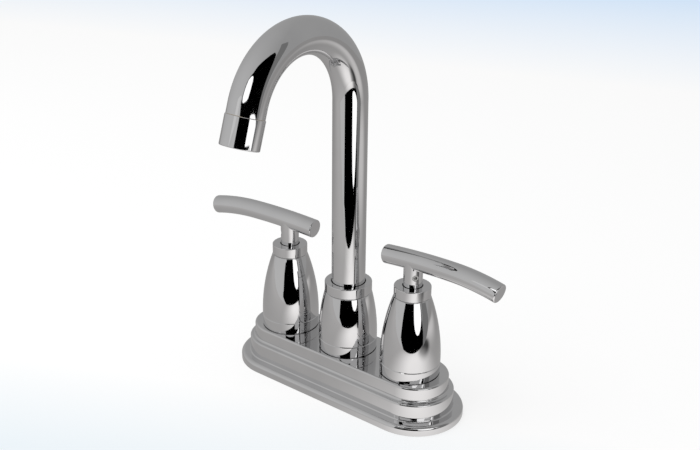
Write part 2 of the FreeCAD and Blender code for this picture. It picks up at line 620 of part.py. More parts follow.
def pocket(body, name, sketch, length, up=False):
    """Cut a sketch downwards, or upwards, by a named length, and see that it cut."""
    doc.recompute()
    before = body.Shape.Volume
    feature = body.newObject("PartDesign::Pocket", name)
    feature.Profile = sketch
    bind(feature, "Length", length)
    feature.Reversed = up
    doc.recompute()
    if body.Shape.Volume >= before:
        raise RuntimeError(f"{body.Label}: {name} cuts nothing")
    return feature


def repeat_round(body, feature, sketch, count, spread=None):
    """Copy a feature round the body's vertical axis, over a full turn or a named spread."""
    pattern = body.newObject("PartDesign::PolarPattern", feature.Name + "_round")
    pattern.Originals = [feature]
    pattern.Axis = (sketch, ["N_Axis"])
    pattern.Angle = 360
    if spread:
        bind(pattern, "Angle", spread)
    if isinstance(count, str):
        bind(pattern, "Occurrences", count)
    else:
        pattern.Occurrences = count
    body.Tip = pattern
    return pattern


def dress_edges(body, kind, name, amount, wanted):
    """Fillet or chamfer the edges of the body's last feature that the test wanted picks."""
    doc.recompute()
    base = body.Tip
    picked = [f"Edge{number}" for number, edge in enumerate(base.Shape.Edges, start=1) if wanted(edge)]
    feature = body.newObject("PartDesign::" + kind, name)
    feature.Base = (base, picked)
    bind(feature, "Radius" if kind == "Fillet" else "Size", amount)
    return feature


def near(first, second, slack=0.01):
    """True where two lengths are the same but for rounding."""
    return abs(first - second) < slack


def at_height(edge, height):
    """True for an edge that lies level at this height."""
    return near(edge.BoundBox.ZMin, height) and near(edge.BoundBox.ZMax, height)


def make_deck_plate():
    """The chromed shell: three oblong tiers, hollow below, with three holes through its top."""
    body = new_body("deck_plate")
    tiers = [("flange", "flange_half_width", "flange_height", None),
             ("middle", "middle_half_width", "middle_height", "flange_height"),
             ("top", "top_half_width", "top_height", "middle_top_z")]
    for name, half_width, height, foot in tiers:
        outline = draw_slot(new_sketch(body, name + "_outline", height=foot), "end_offset", half_width)
        pad(body, name + "_tier", outline, height)
    dress_edges(body, "Fillet", "flange_rounding", "flange_round",
                lambda edge: at_height(edge, size("flange_height")) and
                (near(edge.BoundBox.YMax, size("flange_half_width"), 0.1) or
                 near(edge.BoundBox.YMin, -size("flange_half_width"), 0.1)))
    dress_edges(body, "Fillet", "tier_rounding", "tier_round",
                lambda edge: at_height(edge, size("plate_top_z")) or
                (at_height(edge, size("middle_top_z")) and
                 (near(edge.BoundBox.YMax, size("middle_half_width"), 0.1) or
                  near(edge.BoundBox.YMin, -size("middle_half_width"), 0.1))))
    hollows = [("gasket_recess", "gasket_pocket_half_width", "gasket_thickness"),
               ("cavity", "cavity_half_width", "cavity_depth"),
               ("upper_cavity", "upper_cavity_half_width", "upper_cavity_depth")]
    for name, half_width, depth in hollows:
        outline = draw_slot(new_sketch(body, name + "_outline"), "end_offset", half_width)
        pocket(body, name, outline, depth, up=True)
    holes = new_sketch(body, "holes_outline")
    for across in ("hot_x", "zero", "cold_x"):
        draw_circle(holes, "plate_hole_r", across)
    pocket(body, "holes", holes, "plate_top_z", up=True)
    keep(body)


def make_base_gasket():
    """The black gasket in the plate's underside, with a hole for each boss."""
    body = new_body("base_gasket")
    outline = draw_slot(new_sketch(body, "gasket_outline"), "end_offset", "gasket_half_width")
    for across in ("hot_x", "cold_x"):
        draw_circle(outline, "gasket_hole_r", across)
    pad(body, "sheet", outline, "gasket_thickness")
    keep(body)


def make_waterway():
    """One brass casting: two valve barrels, the mixing hub between them and the tube that joins them."""
    body = new_body("waterway_body")
    gallery = draw_circle(new_sketch(body, "gallery_outline", "YZ_Plane", height="hot_x"),
                          "gallery_r", up="gallery_height")
    pad(body, "gallery", gallery, "handle_spacing")
    barrels = new_sketch(body, "barrels_outline", height="gasket_thickness")
    for across in ("hot_x", "zero", "cold_x"):
        draw_circle(barrels, "barrel_r", across)
    pad(body, "barrels", barrels, "barrel_height")
    valve_necks = new_sketch(body, "valve_necks_outline", height="upper_cavity_depth")
    bosses = new_sketch(body, "bosses_outline", height="gasket_thickness")
    chambers = new_sketch(body, "chambers_outline", height="valve_neck_top_z")
    inlets = new_sketch(body, "inlets_outline", height="valve_neck_top_z")
    sockets = new_sketch(body, "sockets_outline", height="boss_bottom_z")
    for across in ("hot_x", "cold_x"):
        draw_circle(valve_necks, "neck_r", across)
        draw_circle(bosses, "boss_r", across)
        draw_circle(chambers, "chamber_r", across)
        draw_circle(inlets, "inlet_r", across)
        draw_circle(sockets, "socket_r", across)
    hub_neck = draw_circle(new_sketch(body, "hub_neck_outline", height="upper_cavity_depth"), "neck_r")
    hub_bore = draw_circle(new_sketch(body, "hub_bore_outline", height="hub_neck_top_z"), "hub_bore_r")
    gallery_bore = draw_circle(new_sketch(body, "gallery_bore_outline", "YZ_Plane", height="cold_x"),
                               "gallery_bore_r", up="gallery_height")
    pad(body, "valve_necks", valve_necks, "valve_neck_length")
    pad(body, "hub_neck", hub_neck, "hub_neck_length")
    pad(body, "bosses", bosses, "boss_length", down=True)
    pocket(body, "chambers", chambers, "chamber_depth")
    pocket(body, "inlets", inlets, "inlet_depth")
    pocket(body, "sockets", sockets, "socket_depth", up=True)
    pocket(body, "hub_bore", hub_bore, "hub_bore_depth")
    pocket(body, "gallery_bore", gallery_bore, "handle_spacing")
    keep(body)


def make_shank(side, x):
    """The threaded brass nipple that takes the supply hose and clamps the tap to the deck."""
    body = new_body(side + "_inlet_shank", x)
    revolve(body, "nipple", [
        ("shank_bore_r", "shank_bottom_z"), ("tail_end_r", "shank_bottom_z"), ("tail_r", "tail_edge_z"),
        ("tail_r", "tail_top_z"), ("shank_r", "tail_top_z"), ("shank_r", "shank_top_z"),
        ("shank_bore_r", "shank_top_z")])
    keep(body)


def make_pair(label, make_one):
    """Two like fasteners, one on each shank, kept together under one name."""
    pair = doc.addObject("Part::Compound", label)
    pair.Label = label
    pair.Links = [make_one(side + "_" + label, x) for side, x in (("hot", "hot_x"), ("cold", "cold_x"))]
    keep(pair)


def make_lock_washer(label, x):
    """A flat washer under the deck."""
    body = new_body(label, x)
    outline = draw_circle(new_sketch(body, "washer_outline", height="washer_top_z"), "washer_r")
    draw_circle(outline, "socket_r")
    pad(body, "washer", outline, "washer_thickness", down=True)
    return body


def make_lock_nut(label, x):
    """A hexagon nut with chamfered corners on the shank's thread."""
    body = new_body(label, x)
    outline = draw_hexagon(new_sketch(body, "nut_outline", height="nut_top_z"), "nut_corner_r")
    pad(body, "nut", outline, "nut_height", down=True)
    dress_edges(body, "Chamfer", "nut_corners", "nut_chamfer",
                lambda edge: at_height(edge, size("nut_top_z") - size("nut_height")))
    bore = draw_circle(new_sketch(body, "bore_outline", height="nut_top_z"), "socket_r")
    pocket(body, "bore", bore, "nut_height")
    return body


def make_base_ring(side, x):
    """The ring screwed on a neck: it clamps the plate, and the dome stands on it."""
    body = new_body(side + "_base_ring", x)
    revolve(body, "ring", [
        ("ring_bore_r", "plate_top_z"), ("ring_foot_r", "plate_top_z", "ring_side_curve_r", 1),
        ("dome_r", "seam_low_z"), ("seam_r", "seam_z"), ("ring_spigot_r", "seam_z"),
        ("ring_spigot_r", "ring_spigot_top_z"), ("ring_spigot_bore_r", "ring_spigot_top_z"),
        ("ring_spigot_bore_r", "seam_z"), ("ring_bore_r", "seam_z")])
    keep(body)


def make_dome(side, x, kind):
    """The tall barrel-shaped shell; kind names the set of heights, handle or spout."""
    body = new_body(side + "_dome", x)
    revolve(body, "shell", [
        ("dome_inner_r", "seam_z"), ("seam_r", "seam_z"), ("dome_r", "seam_high_z"),
        ("dome_r", "belly_z", kind + "_dome_curve_r", 1),
        (kind + "_collar_r", kind + "_dome_top_z"), (kind + "_dome_hole_r", kind + "_dome_top_z"),
        (kind + "_dome_hole_r", kind + "_dome_web_z"),
        (kind + "_dome_web_r", kind + "_dome_web_z", kind + "_dome_inner_curve_r", -1),
        ("dome_inner_r", "belly_z")])
    keep(body)


def make_collar(side, x, kind):
    """The cap over a dome: a polished cylinder with a thin lip, screwed into the dome's top."""
    body = new_body(side + "_collar", x)
    revolve(body, "cap", [
        (kind + "_seat_r", kind + "_spigot_z"), (kind + "_spigot_r", kind + "_spigot_z"),
        (kind + "_spigot_r", kind + "_dome_top_z"), (kind + "_collar_r", kind + "_dome_top_z"),
        (kind + "_collar_r", kind + "_collar_edge_z"), (kind + "_collar_edge_r", kind + "_collar_top_z"),
        (kind + "_lip_r", kind + "_collar_top_z"), (kind + "_lip_r", kind + "_collar_low_z"),
        (kind + "_seat_r", kind + "_collar_low_z")])
    keep(body)


def make_glide_ring(side, x, kind):
    """The black bush under the collar's lip, in which the post or the spout turns."""
    body = new_body(side + "_glide_ring", x)
    revolve(body, "bush", [
        (kind + "_glide_bore_r", kind + "_glide_z"), (kind + "_glide_r", kind + "_glide_z"),
        (kind + "_glide_r", kind + "_collar_low_z"), (kind + "_glide_bore_r", kind + "_collar_low_z")])
    keep(body)


def draw_key(sketch, inner, outer, low, high, along_x):
    """The rectangle of a key or of its slot, out along the X axis or the Y axis."""
    corners = [(inner, low), (outer, low), (outer, high), (inner, high)]
    return draw_outline(sketch, corners if along_x else [(up, across) for across, up in corners])


def make_housing(side, x, turn, keys_along_x):
    """The brass cartridge housing: guide, head, outlet windows, and stop ribs and disc keys inside."""
    body = new_body(side + "_cartridge_housing", x, turn)
    revolve(body, "sleeve", [
        ("housing_bore_r", "housing_foot_z"), ("housing_r", "housing_foot_z"),
        ("housing_r", "hex_top_z"), ("housing_tube_r", "hex_top_z"), ("housing_tube_r", "housing_top_z"),
        ("journal_r", "housing_top_z"), ("journal_r", "housing_shoulder_z"),
        ("housing_bore_r", "housing_shoulder_z")])
    head = draw_hexagon(new_sketch(body, "head_outline", height="valve_neck_top_z"), "hex_corner_r")
    draw_circle(head, "housing_tube_r")
    pad(body, "head", head, "hex_height")
    rib = new_sketch(body, "rib_outline", height="stop_z", turn="stop_turn")
    draw_outline(rib, [("stop_inner_r", "stop_low_half"), ("stop_outer_r", "stop_low_half"),
                       ("stop_outer_r", "stop_half_width"), ("stop_inner_r", "stop_half_width")])
    repeat_round(body, pad(body, "rib", rib, "stop_length"), rib, 2, "stop_spread")
    key = draw_key(new_sketch(body, "key_outline", height="fixed_disc_z"),
                   "key_inner_r", "stop_outer_r", "key_low_half", "key_half_width", keys_along_x)
    repeat_round(body, pad(body, "key", key, "key_height"), key, 2)
    window = draw_outline(new_sketch(body, "window_outline", "XZ_Plane"), [
        ("window_low_half", "window_low_z"), ("window_half", "window_low_z"),
        ("window_half", "housing_shoulder_z"), ("window_low_half", "housing_shoulder_z")])
    cut = pocket(body, "window", window, "chamber_r", up=True)
    repeat_round(body, cut, rib, 4)
    keep(body)


def port_corners(along_x):
    """The four corners of a port, on the X axis or on the Y axis."""
    corners = [("port_near_across", "port_near_down"),
               ("port_far_across", "port_far_down", "port_outer_r", 1),
               ("port_far_across", "port_far_up"),
               ("port_near_across", "port_near_up", "port_inner_r", -1)]
    if along_x:
        return corners
    swapped = [(up, across, *rest) for across, up, *rest in corners]
    return [(*corner[:2], corner[2], -corner[3]) if len(corner) > 2 else corner for corner in swapped]


def make_disc(label, x, turn, foot, along_x):
    """A ceramic disc with two ports; returns the body for the pieces that need more cuts."""
    body = new_body(label, x, turn)
    pad(body, "disc", draw_circle(new_sketch(body, "disc_outline", height=foot), "disc_r"),
        "disc_thickness")
    port = draw_outline(new_sketch(body, "port_outline", height=foot), port_corners(along_x))
    cut = pocket(body, "port", port, "disc_thickness", up=True)
    repeat_round(body, cut, port, 2)
    return keep(body)


def make_fixed_disc(side, x):
    """The lower disc, with a slot at each side for the housing's keys."""
    body = make_disc(side + "_fixed_disc", x, None, "fixed_disc_z", along_x=True)
    slot = draw_key(new_sketch(body, "slot_outline", height="fixed_disc_z"),
                    "key_slot_inner_r", "housing_bore_r", "key_slot_low_half", "key_slot_half",
                    along_x=False)
    cut = pocket(body, "slot", slot, "disc_thickness", up=True)
    repeat_round(body, cut, slot, 2)


def make_moving_disc(side, x, turn):
    """The upper disc, crossing the lower one's ports when shut, with a notch for each tang."""
    body = make_disc(side + "_moving_disc", x, turn, "moving_disc_z", along_x=False)
    notch = draw_outline(new_sketch(body, "notch_outline", height="moving_disc_top_z"), [
        ("notch_inner_r", "notch_low_half"), ("notch_outer_r", "notch_low_half"),
        ("notch_outer_r", "notch_half_width"), ("notch_inner_r", "notch_half_width")])
    cut = pocket(body, "notch", notch, "notch_depth")
    repeat_round(body, cut, notch, 2)


def make_seat_seal(side, x):
    """The rubber ring that presses the fixed disc up against the moving one."""
    body = new_body(side + "_seat_seal", x)
    revolve(body, "ring", [("seal_inner_r", "seat_z"), ("disc_r", "seat_z"), ("disc_r", "fixed_disc_z"),
                           ("seal_inner_r", "fixed_disc_z")])
    keep(body)


def make_stem(side, x, turn):
    """The turning stem: tangs and stop lug at its foot, two ring grooves, clip groove, toothed top."""
    body = new_body(side + "_stem", x, turn)
    grooves = []
    for ring in ("lower", "upper"):
        grooves += [("stem_r", ring + "_groove_low_z"), ("groove_r", ring + "_groove_low_z"),
                    ("groove_r", ring + "_groove_top_z"), ("stem_r", ring + "_groove_top_z")]
    revolve(body, "shaft", [
        ("zero", "moving_disc_top_z"), ("drive_plate_r", "moving_disc_top_z"),
        ("drive_plate_r", "drive_plate_top_z"), ("stem_collar_r", "drive_plate_top_z"),
        ("stem_collar_r", "stem_collar_top_z"), ("stem_r", "stem_collar_top_z"), *grooves,
        ("stem_r", "clip_groove_low_z"), ("clip_groove_r", "clip_groove_low_z"),
        ("clip_groove_r", "clip_groove_top_z"), ("stem_r", "clip_groove_top_z"),
        ("stem_r", "stem_shoulder_z"), ("spline_r", "stem_shoulder_z"), ("spline_r", "stem_top_z"),
        ("zero", "stem_top_z")])
    lug = draw_outline(new_sketch(body, "lug_outline", height="moving_disc_top_z"), [
        ("lug_inner_r", "lug_low_half"), ("lug_corner_across", "lug_low_half", "lug_r", 1),
        ("lug_corner_across", "lug_half_width"), ("lug_inner_r", "lug_half_width")])
    pad(body, "lug", lug, "drive_plate_thickness")
    tang = draw_outline(new_sketch(body, "tang_outline", height="moving_disc_top_z"), [
        ("tang_inner_r", "tang_low_half"), ("tang_outer_r", "tang_low_half"),
        ("tang_outer_r", "tang_half_width"), ("tang_inner_r", "tang_half_width")])
    repeat_round(body, pad(body, "tang", tang, "tang_depth", down=True), tang, 2)
    tooth_gap = draw_outline(new_sketch(body, "tooth_gap_outline", height="stem_top_z"), [
        ("spline_cut_r", "zero"), ("spline_cut_outer_r", "spline_cut_low_half"),
        ("spline_cut_outer_r", "spline_cut_half")])
    cut = pocket(body, "tooth_gap", tooth_gap, "spline_length")
    repeat_round(body, cut, tooth_gap, "spline_count")
    keep(body)


def make_ring_set(label, centre_r, heights, x=None):
    """O-rings of one size at some heights on one axis, kept together under one name."""
    rings = []
    for number, height in enumerate(heights, start=1):
        ring = doc.addObject("Part::Torus", f"{label}_{number}")
        bind(ring, "Radius1", centre_r)
        bind(ring, "Radius2", "ring_section_r")
        bind(ring, "Placement.Base.z", height)
        rings.append(ring)
    group = doc.addObject("Part::Compound", label)
    group.Label = label
    group.Links = rings
    if x:
        bind(group, "Placement.Base.x", x)
    keep(group)


def make_clip(side, x, turn):
    """The open spring clip that keeps the stem from falling out of its housing."""
    body = new_body(side + "_stem_clip", x, turn)
    outline = draw_circle(new_sketch(body, "clip_outline", height="clip_z"), "clip_outer_r")
    draw_circle(outline, "clip_inner_r")
    pad(body, "clip", outline, "clip_thickness")
    mouth = draw_outline(new_sketch(body, "mouth_outline", height="clip_top_z"), [
        ("zero", "clip_mouth_low"), ("clip_outer_r", "clip_mouth_low"),
        ("clip_outer_r", "clip_mouth_half"), ("zero", "clip_mouth_half")])
    pocket(body, "mouth", mouth, "clip_thickness")
    keep(body)


def make_lever(side, x, turn, screw_turn):
    """The handle: a round rod bent down at its long end, on a post that hides the stem."""
    body = new_body(side + "_lever", x, turn)
    section = draw_circle(new_sketch(body, "rod_section", "YZ_Plane", height="crest_reach"),
                          "rod_r", up="lever_crest_z")
    crest = ("crest_reach", "lever_crest_z")
    outer_path = draw_outline(new_sketch(body, "outer_path", "XZ_Plane"),
                              [(*crest, "outer_curve_r", -1), ("long_end", "long_end_z")], closed=False)
    inner_path = draw_outline(new_sketch(body, "inner_path", "XZ_Plane"),
                              [(*crest, "inner_curve_r", 1), ("short_end_across", "short_end_z")],
                              closed=False)
    for name, path in (("outer_rod", outer_path), ("inner_rod", inner_path)):
        rod = body.newObject("PartDesign::AdditivePipe", name)
        rod.Profile = section
        rod.Spine = (path, ["Edge1"])
    post = draw_circle(new_sketch(body, "post_outline", height="post_bottom_z"), "post_r")
    pad(body, "post", post, "post_length")
    dress_edges(body, "Chamfer", "rod_ends", "rod_edge",
                lambda edge: near(edge.Length, 2 * math.pi * size("rod_r"), 0.05) and
                not near(edge.BoundBox.XMax, size("crest_reach")))
    bore = draw_circle(new_sketch(body, "bore_outline", height="post_bottom_z"), "post_bore_r")
    pocket(body, "stem_socket", bore, "post_bore_length", up=True)
    hole = draw_circle(new_sketch(body, "screw_hole_outline", "XZ_Plane", turn=screw_turn),
                       "screw_hole_r", up="screw_z")
    pocket(body, "screw_hole", hole, "screw_hole_depth", up=True)
    keep(body)


def make_set_screw(side, x, turn, screw_turn):
    """The headless screw that holds the handle on the stem, with a hexagon key socket."""
    body = new_body(side + "_set_screw", x, turn)
    outline = draw_circle(new_sketch(body, "screw_outline", "XZ_Plane", "screw_inner_end", screw_turn),
                          "screw_r", up="screw_z")
    pad(body, "screw", outline, "screw_length")
    key = draw_hexagon(new_sketch(body, "key_outline", "XZ_Plane", "screw_outer_end", screw_turn),
                       "screw_hex_corner_r", up="screw_z")
    pocket(body, "key_socket", key, "screw_hex_depth")
    keep(body)


def make_spout_tube():
    """The gooseneck: an upright, a bend of less than a half turn and a short straight tip."""
    body = new_body("spout_tube")
    section = draw_circle(new_sketch(body, "tube_section", height="flange_top_z"), "tube_r")
    draw_circle(section, "tube_bore_r")
    path = draw_outline(new_sketch(body, "tube_path", "YZ_Plane"), [
        ("zero", "flange_top_z"), ("zero", "column_top_z", "bend_r", 1),
        ("bend_end_y", "bend_end_z"), ("outlet_y", "outlet_z")], closed=False)
    tube = body.newObject("PartDesign::AdditivePipe", "gooseneck")
    tube.Profile = section
    tube.Spine = (path, ["Edge1", "Edge2", "Edge3"])
    keep(body)


def make_spout_adaptor():
    """The brass foot of the spout: a spigot for the hub, a flange and a sleeve in the tube."""
    body = new_body("spout_adaptor")
    grooves = []
    for ring in ("lower", "upper"):
        name = "spout_" + ring
        grooves += [("spigot_r", name + "_groove_low_z"), ("spout_groove_r", name + "_groove_low_z"),
                    ("spout_groove_r", name + "_groove_top_z"), ("spigot_r", name + "_groove_top_z")]
    revolve(body, "foot", [
        ("adaptor_bore_r", "spigot_bottom_z"), ("spigot_r", "spigot_bottom_z"), *grooves,
        ("spigot_r", "flange_low_z"), ("flange_r", "flange_low_z"), ("flange_r", "flange_top_z"),
        ("sleeve_r", "flange_top_z"), ("sleeve_r", "sleeve_top_z"), ("adaptor_bore_r", "sleeve_top_z")])
    keep(body)


def make_thrust_washer():
    """The slippery washer that the spout's flange turns on."""
    body = new_body("spout_thrust_washer")
    revolve(body, "washer", [
        ("washer_bore_r", "hub_neck_top_z"), ("washer_outer_r", "hub_neck_top_z"),
        ("washer_outer_r", "thrust_washer_top_z"), ("washer_bore_r", "thrust_washer_top_z")])
    keep(body)


def make_retaining_nut():
    """The notched nut that holds the spout's flange down on the hub."""
    body = new_body("spout_retaining_nut")
    revolve(body, "nut", [
        ("nut_bore_r", "nut_bottom_z"), ("nut_outer_r", "nut_bottom_z"),
        ("nut_outer_r", "retaining_nut_top_z"), ("nut_lip_r", "retaining_nut_top_z"),
        ("nut_lip_r", "nut_lip_z"), ("nut_bore_r", "nut_lip_z")])
    notch = draw_outline(new_sketch(body, "notch_outline", height="retaining_nut_top_z"), [
        ("nut_bore_r", "nut_notch_low_half"), ("nut_notch_outer_r", "nut_notch_low_half"),
        ("nut_notch_outer_r", "nut_notch_half"), ("nut_bore_r", "nut_notch_half")])
    cut = pocket(body, "notch", notch, "nut_notch_depth")
    repeat_round(body, cut, notch, 6)
    keep(body)


def outlet_body(label):
    """A body whose vertical axis becomes the outlet's, pointing out of the end of the tube."""
    body = new_body(label)
    body.Placement = FreeCAD.Placement(Vector(), Rotation(Vector(1, 0, 0), size("bend_angle")))
    bind(body, "Placement.Rotation.Angle", "bend_angle")
    bind(body, "Placement.Base.y", "outlet_y")
    bind(body, "Placement.Base.z", "outlet_z")
    return keep(body)


def make_outlet():
    """The end of the spout: threaded ferrule, rubber washer, jet insert and the chromed shell."""
    revolve(outlet_body("outlet_ferrule"), "ferrule", [
        ("ferrule_bore_r", "ferrule_top"), ("sleeve_r", "ferrule_top"), ("sleeve_r", "zero"),
        ("ferrule_thread_r", "zero"), ("ferrule_thread_r", "ferrule_outside"),
        ("ferrule_bore_r", "ferrule_outside")])
    revolve(outlet_body("aerator_washer"), "washer", [
        ("outlet_washer_bore_r", "ferrule_outside"), ("insert_r", "ferrule_outside"),
        ("insert_r", "outlet_washer_end"), ("outlet_washer_bore_r", "outlet_washer_end")])
    revolve(outlet_body("aerator_shell"), "shell", [
        ("shell_thread_r", "shell_seam_gap"), ("shell_top_r", "shell_seam_gap"),
        ("shell_r", "shell_top_edge"), ("shell_r", "shell_edge_up"), ("shell_edge_r", "shell_length"),
        ("shell_mouth_r", "shell_length"), ("shell_mouth_r", "shell_lip_face"),
        ("shell_bore_r", "shell_lip_face"), ("shell_bore_r", "ferrule_outside"),
        ("shell_thread_r", "ferrule_outside")])
    insert = outlet_body("aerator_insert")
    pad(insert, "block", draw_circle(new_sketch(insert, "block_outline", height="outlet_washer_end"),
                                     "insert_r"), "insert_height")
    centre = draw_circle(new_sketch(insert, "centre_jet_outline", height="outlet_washer_end"),
                         "insert_hole_r")
    pocket(insert, "centre_jet", centre, "insert_height", up=True)
    for name, ring_r, count in (("inner", "insert_ring_one_r", 6), ("outer", "insert_ring_two_r", 12)):
        jet = draw_circle(new_sketch(insert, name + "_jet_outline", height="outlet_washer_end"),
                          "insert_hole_r", across=ring_r)
        cut = pocket(insert, name + "_jet", jet, "insert_height", up=True)
        repeat_round(insert, cut, jet, count)


def write_pieces():
    """Refuse a failed object or shape, then write each piece under its own name."""
    doc.recompute()
    for thing in doc.Objects:
        if "Invalid" in thing.State or "Error" in thing.State:
            raise RuntimeError(f"{thing.Label} failed: {thing.State}")
    for piece in nodes:
        if piece.Shape.isNull() or not piece.Shape.isValid():
            raise RuntimeError(f"{piece.Label} has no valid shape")
    os.makedirs("parts", exist_ok=True)
    for piece in nodes:
        piece.Shape.exportStep(f"parts/{piece.Label}.step")
    print(f"{len(nodes)} pieces written")


fill_sheet()
make_deck_plate()
make_base_gasket()
make_waterway()
make_pair("lock_washers", make_lock_washer)
make_pair("lock_nuts", make_lock_nut)
for side, x, kind in (("hot", "hot_x", "handle"), ("spout", None, "spout"), ("cold", "cold_x", "handle")):
    make_base_ring(side, x)
    make_dome(side, x, kind)
    make_collar(side, x, kind)
    make_glide_ring(side, x, kind)
for side, x, turn, housing_turn in (("hot", "hot_x", "hot_handle_turn", "hot_housing_turn"),
                                    ("cold", "cold_x", "cold_handle_turn", None)):
    make_shank(side, x)
    make_seat_seal(side, x)
    make_fixed_disc(side, x)
    make_moving_disc(side, x, turn)
    make_housing(side, x, housing_turn, keys_along_x=housing_turn is not None)
    make_stem(side, x, turn)
    make_ring_set(side + "_stem_rings", "ring_centre_r", ("lower_ring_z", "upper_ring_z"), x)
    make_clip(side, x, turn)
    make_lever(side, x, turn, side + "_screw_turn")
    make_set_screw(side, x, turn, side + "_screw_turn")
make_thrust_washer()
make_retaining_nut()
make_spout_adaptor()
make_ring_set("spout_rings", "spout_ring_centre_r", ("spout_lower_ring_z", "spout_upper_ring_z"))
make_spout_tube()
make_outlet()
write_pieces()
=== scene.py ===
# %% [markdown]
# # A basin mixer tap, dressed for its photograph
#
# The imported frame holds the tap's solids at their exact sizes, riding on the bodies that its joints
# move. They are made of flat triangles, and a mirror finish shows each one. So this lesson models
# the polished pieces again, at the same sizes and with smooth surfaces, gives every piece a finish,
# and builds the small studio that the chrome reflects.
#
# Lengths are written in millimetres, as a maker would, and multiplied by MM for Blender's metres.

# %% Load the frame and measure it
import bmesh
import bpy
import json
import math
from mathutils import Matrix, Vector


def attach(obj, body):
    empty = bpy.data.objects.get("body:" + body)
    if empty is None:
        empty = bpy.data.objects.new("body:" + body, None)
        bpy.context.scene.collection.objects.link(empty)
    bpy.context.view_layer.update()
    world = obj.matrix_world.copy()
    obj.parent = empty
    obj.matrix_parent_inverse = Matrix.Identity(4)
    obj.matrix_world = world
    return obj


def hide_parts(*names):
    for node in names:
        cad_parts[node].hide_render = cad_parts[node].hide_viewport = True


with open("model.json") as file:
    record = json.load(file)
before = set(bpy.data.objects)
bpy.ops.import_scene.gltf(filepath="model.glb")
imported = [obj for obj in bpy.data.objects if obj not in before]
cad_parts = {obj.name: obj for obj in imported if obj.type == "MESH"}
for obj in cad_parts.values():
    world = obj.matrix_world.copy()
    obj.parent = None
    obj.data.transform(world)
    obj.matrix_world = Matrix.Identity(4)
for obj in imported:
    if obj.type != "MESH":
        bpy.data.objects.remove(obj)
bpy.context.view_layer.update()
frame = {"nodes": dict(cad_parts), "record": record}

MM = 0.001
bpy.ops.object.select_all(action="DESELECT")

# %% [markdown]
# ## The camera
#
# The photograph looks down on the tap from its front right. The angles and the distance come from
# setting the tap's known sizes against its outline in the picture. Azimuth 0 would look along +Y,
# at the front. A camera could be pointed with a Track To constraint, but its own axes say exactly
# where it stands and how far it is rolled.

# %% Place the camera
AZIMUTH = math.radians(38.41)
ELEVATION = math.radians(22.54)
ROLL = math.radians(0.64)
TO_THE_RIGHT = 1.8
UPWARDS = 105.6
AWAY = 687.65
LENS = 51.98
SENSOR_WIDTH = 36

picture_right = Vector((math.cos(AZIMUTH), math.sin(AZIMUTH), 0))
towards_camera = Vector((math.sin(AZIMUTH), -math.cos(AZIMUTH), 0))
back = towards_camera * math.cos(ELEVATION) + Vector((0, 0, math.sin(ELEVATION)))
level_up = back.cross(picture_right)
right = picture_right * math.cos(ROLL) + level_up * math.sin(ROLL)
up = level_up * math.cos(ROLL) - picture_right * math.sin(ROLL)

bpy.ops.object.camera_add(location=(right * TO_THE_RIGHT + up * UPWARDS + back * AWAY) * MM)
camera = bpy.context.object
camera.name = "photo_camera"
camera.data.lens = LENS
camera.data.sensor_width = SENSOR_WIDTH
camera.data.sensor_fit = "HORIZONTAL"
camera.data.clip_start = 0.01
turned = camera.matrix_world.to_3x3()
turned.col[0], turned.col[1], turned.col[2] = right, up, back
camera.rotation_euler = turned.to_euler()
bpy.context.scene.camera = camera
print("the camera stands", [round(c / MM) for c in camera.location], "mm from the origin")

# %% [markdown]
# ## Finishes
#
# Each finish is one procedural material. A noise on Object coordinates gives it the small unevenness
# that real surfaces have. The helper makes the shader and hands out the usual noise, stretched or
# not, and a bump for the surface's relief.

# %% Helpers for finishes
NOISE_LOW = 0.3
NOISE_HIGH = 0.7
DARK_AT = 0.35
LIGHT_AT = 0.65
finishes = {}


def new_finish(slot, **shader_values):
    """A material for a slot, with its plain values set on the shader's own sockets."""
    finish = bpy.data.materials.new(slot + "_finish")
    finishes[slot] = finish
    finish.use_nodes = True
    shader = finish.node_tree.nodes["Principled BSDF"]
    for socket, value in shader_values.items():
        shader.inputs[socket.replace("_", " ")].default_value = value
    return finish


def add_noise(finish, scale, detail=2.0, stretch=(1, 1, 1)):
    """Noise on Object coordinates: scale is in grains per metre."""
    nodes, links = finish.node_tree.nodes, finish.node_tree.links
    place = nodes.new("ShaderNodeTexCoord")
    mapping = nodes.new("ShaderNodeMapping")
    mapping.inputs["Scale"].default_value = stretch
    noise = nodes.new("ShaderNodeTexNoise")
    noise.inputs["Scale"].default_value = scale
    noise.inputs["Detail"].default_value = detail
    links.new(place.outputs["Object"], mapping.inputs["Vector"])
    links.new(mapping.outputs["Vector"], noise.inputs["Vector"])
    return noise.outputs["Fac"]


def drive_roughness(finish, source, low, high):
    """Let a pattern move the roughness between two values."""
    nodes, links = finish.node_tree.nodes, finish.node_tree.links
    span = nodes.new("ShaderNodeMapRange")
    span.inputs["From Min"].default_value = NOISE_LOW
    span.inputs["From Max"].default_value = NOISE_HIGH
    span.inputs["To Min"].default_value = low
    span.inputs["To Max"].default_value = high
    links.new(source, span.inputs["Value"])
    links.new(span.outputs["Result"], nodes["Principled BSDF"].inputs["Roughness"])


def drive_colour(finish, source, dark, light):
    """Let a pattern move the colour between two tones."""
    nodes, links = finish.node_tree.nodes, finish.node_tree.links
    ramp = nodes.new("ShaderNodeValToRGB")
    ramp.color_ramp.elements[0].position = DARK_AT
    ramp.color_ramp.elements[0].color = (*dark, 1)
    ramp.color_ramp.elements[1].position = LIGHT_AT
    ramp.color_ramp.elements[1].color = (*light, 1)
    links.new(source, ramp.inputs["Fac"])
    links.new(ramp.outputs["Color"], nodes["Principled BSDF"].inputs["Base Color"])


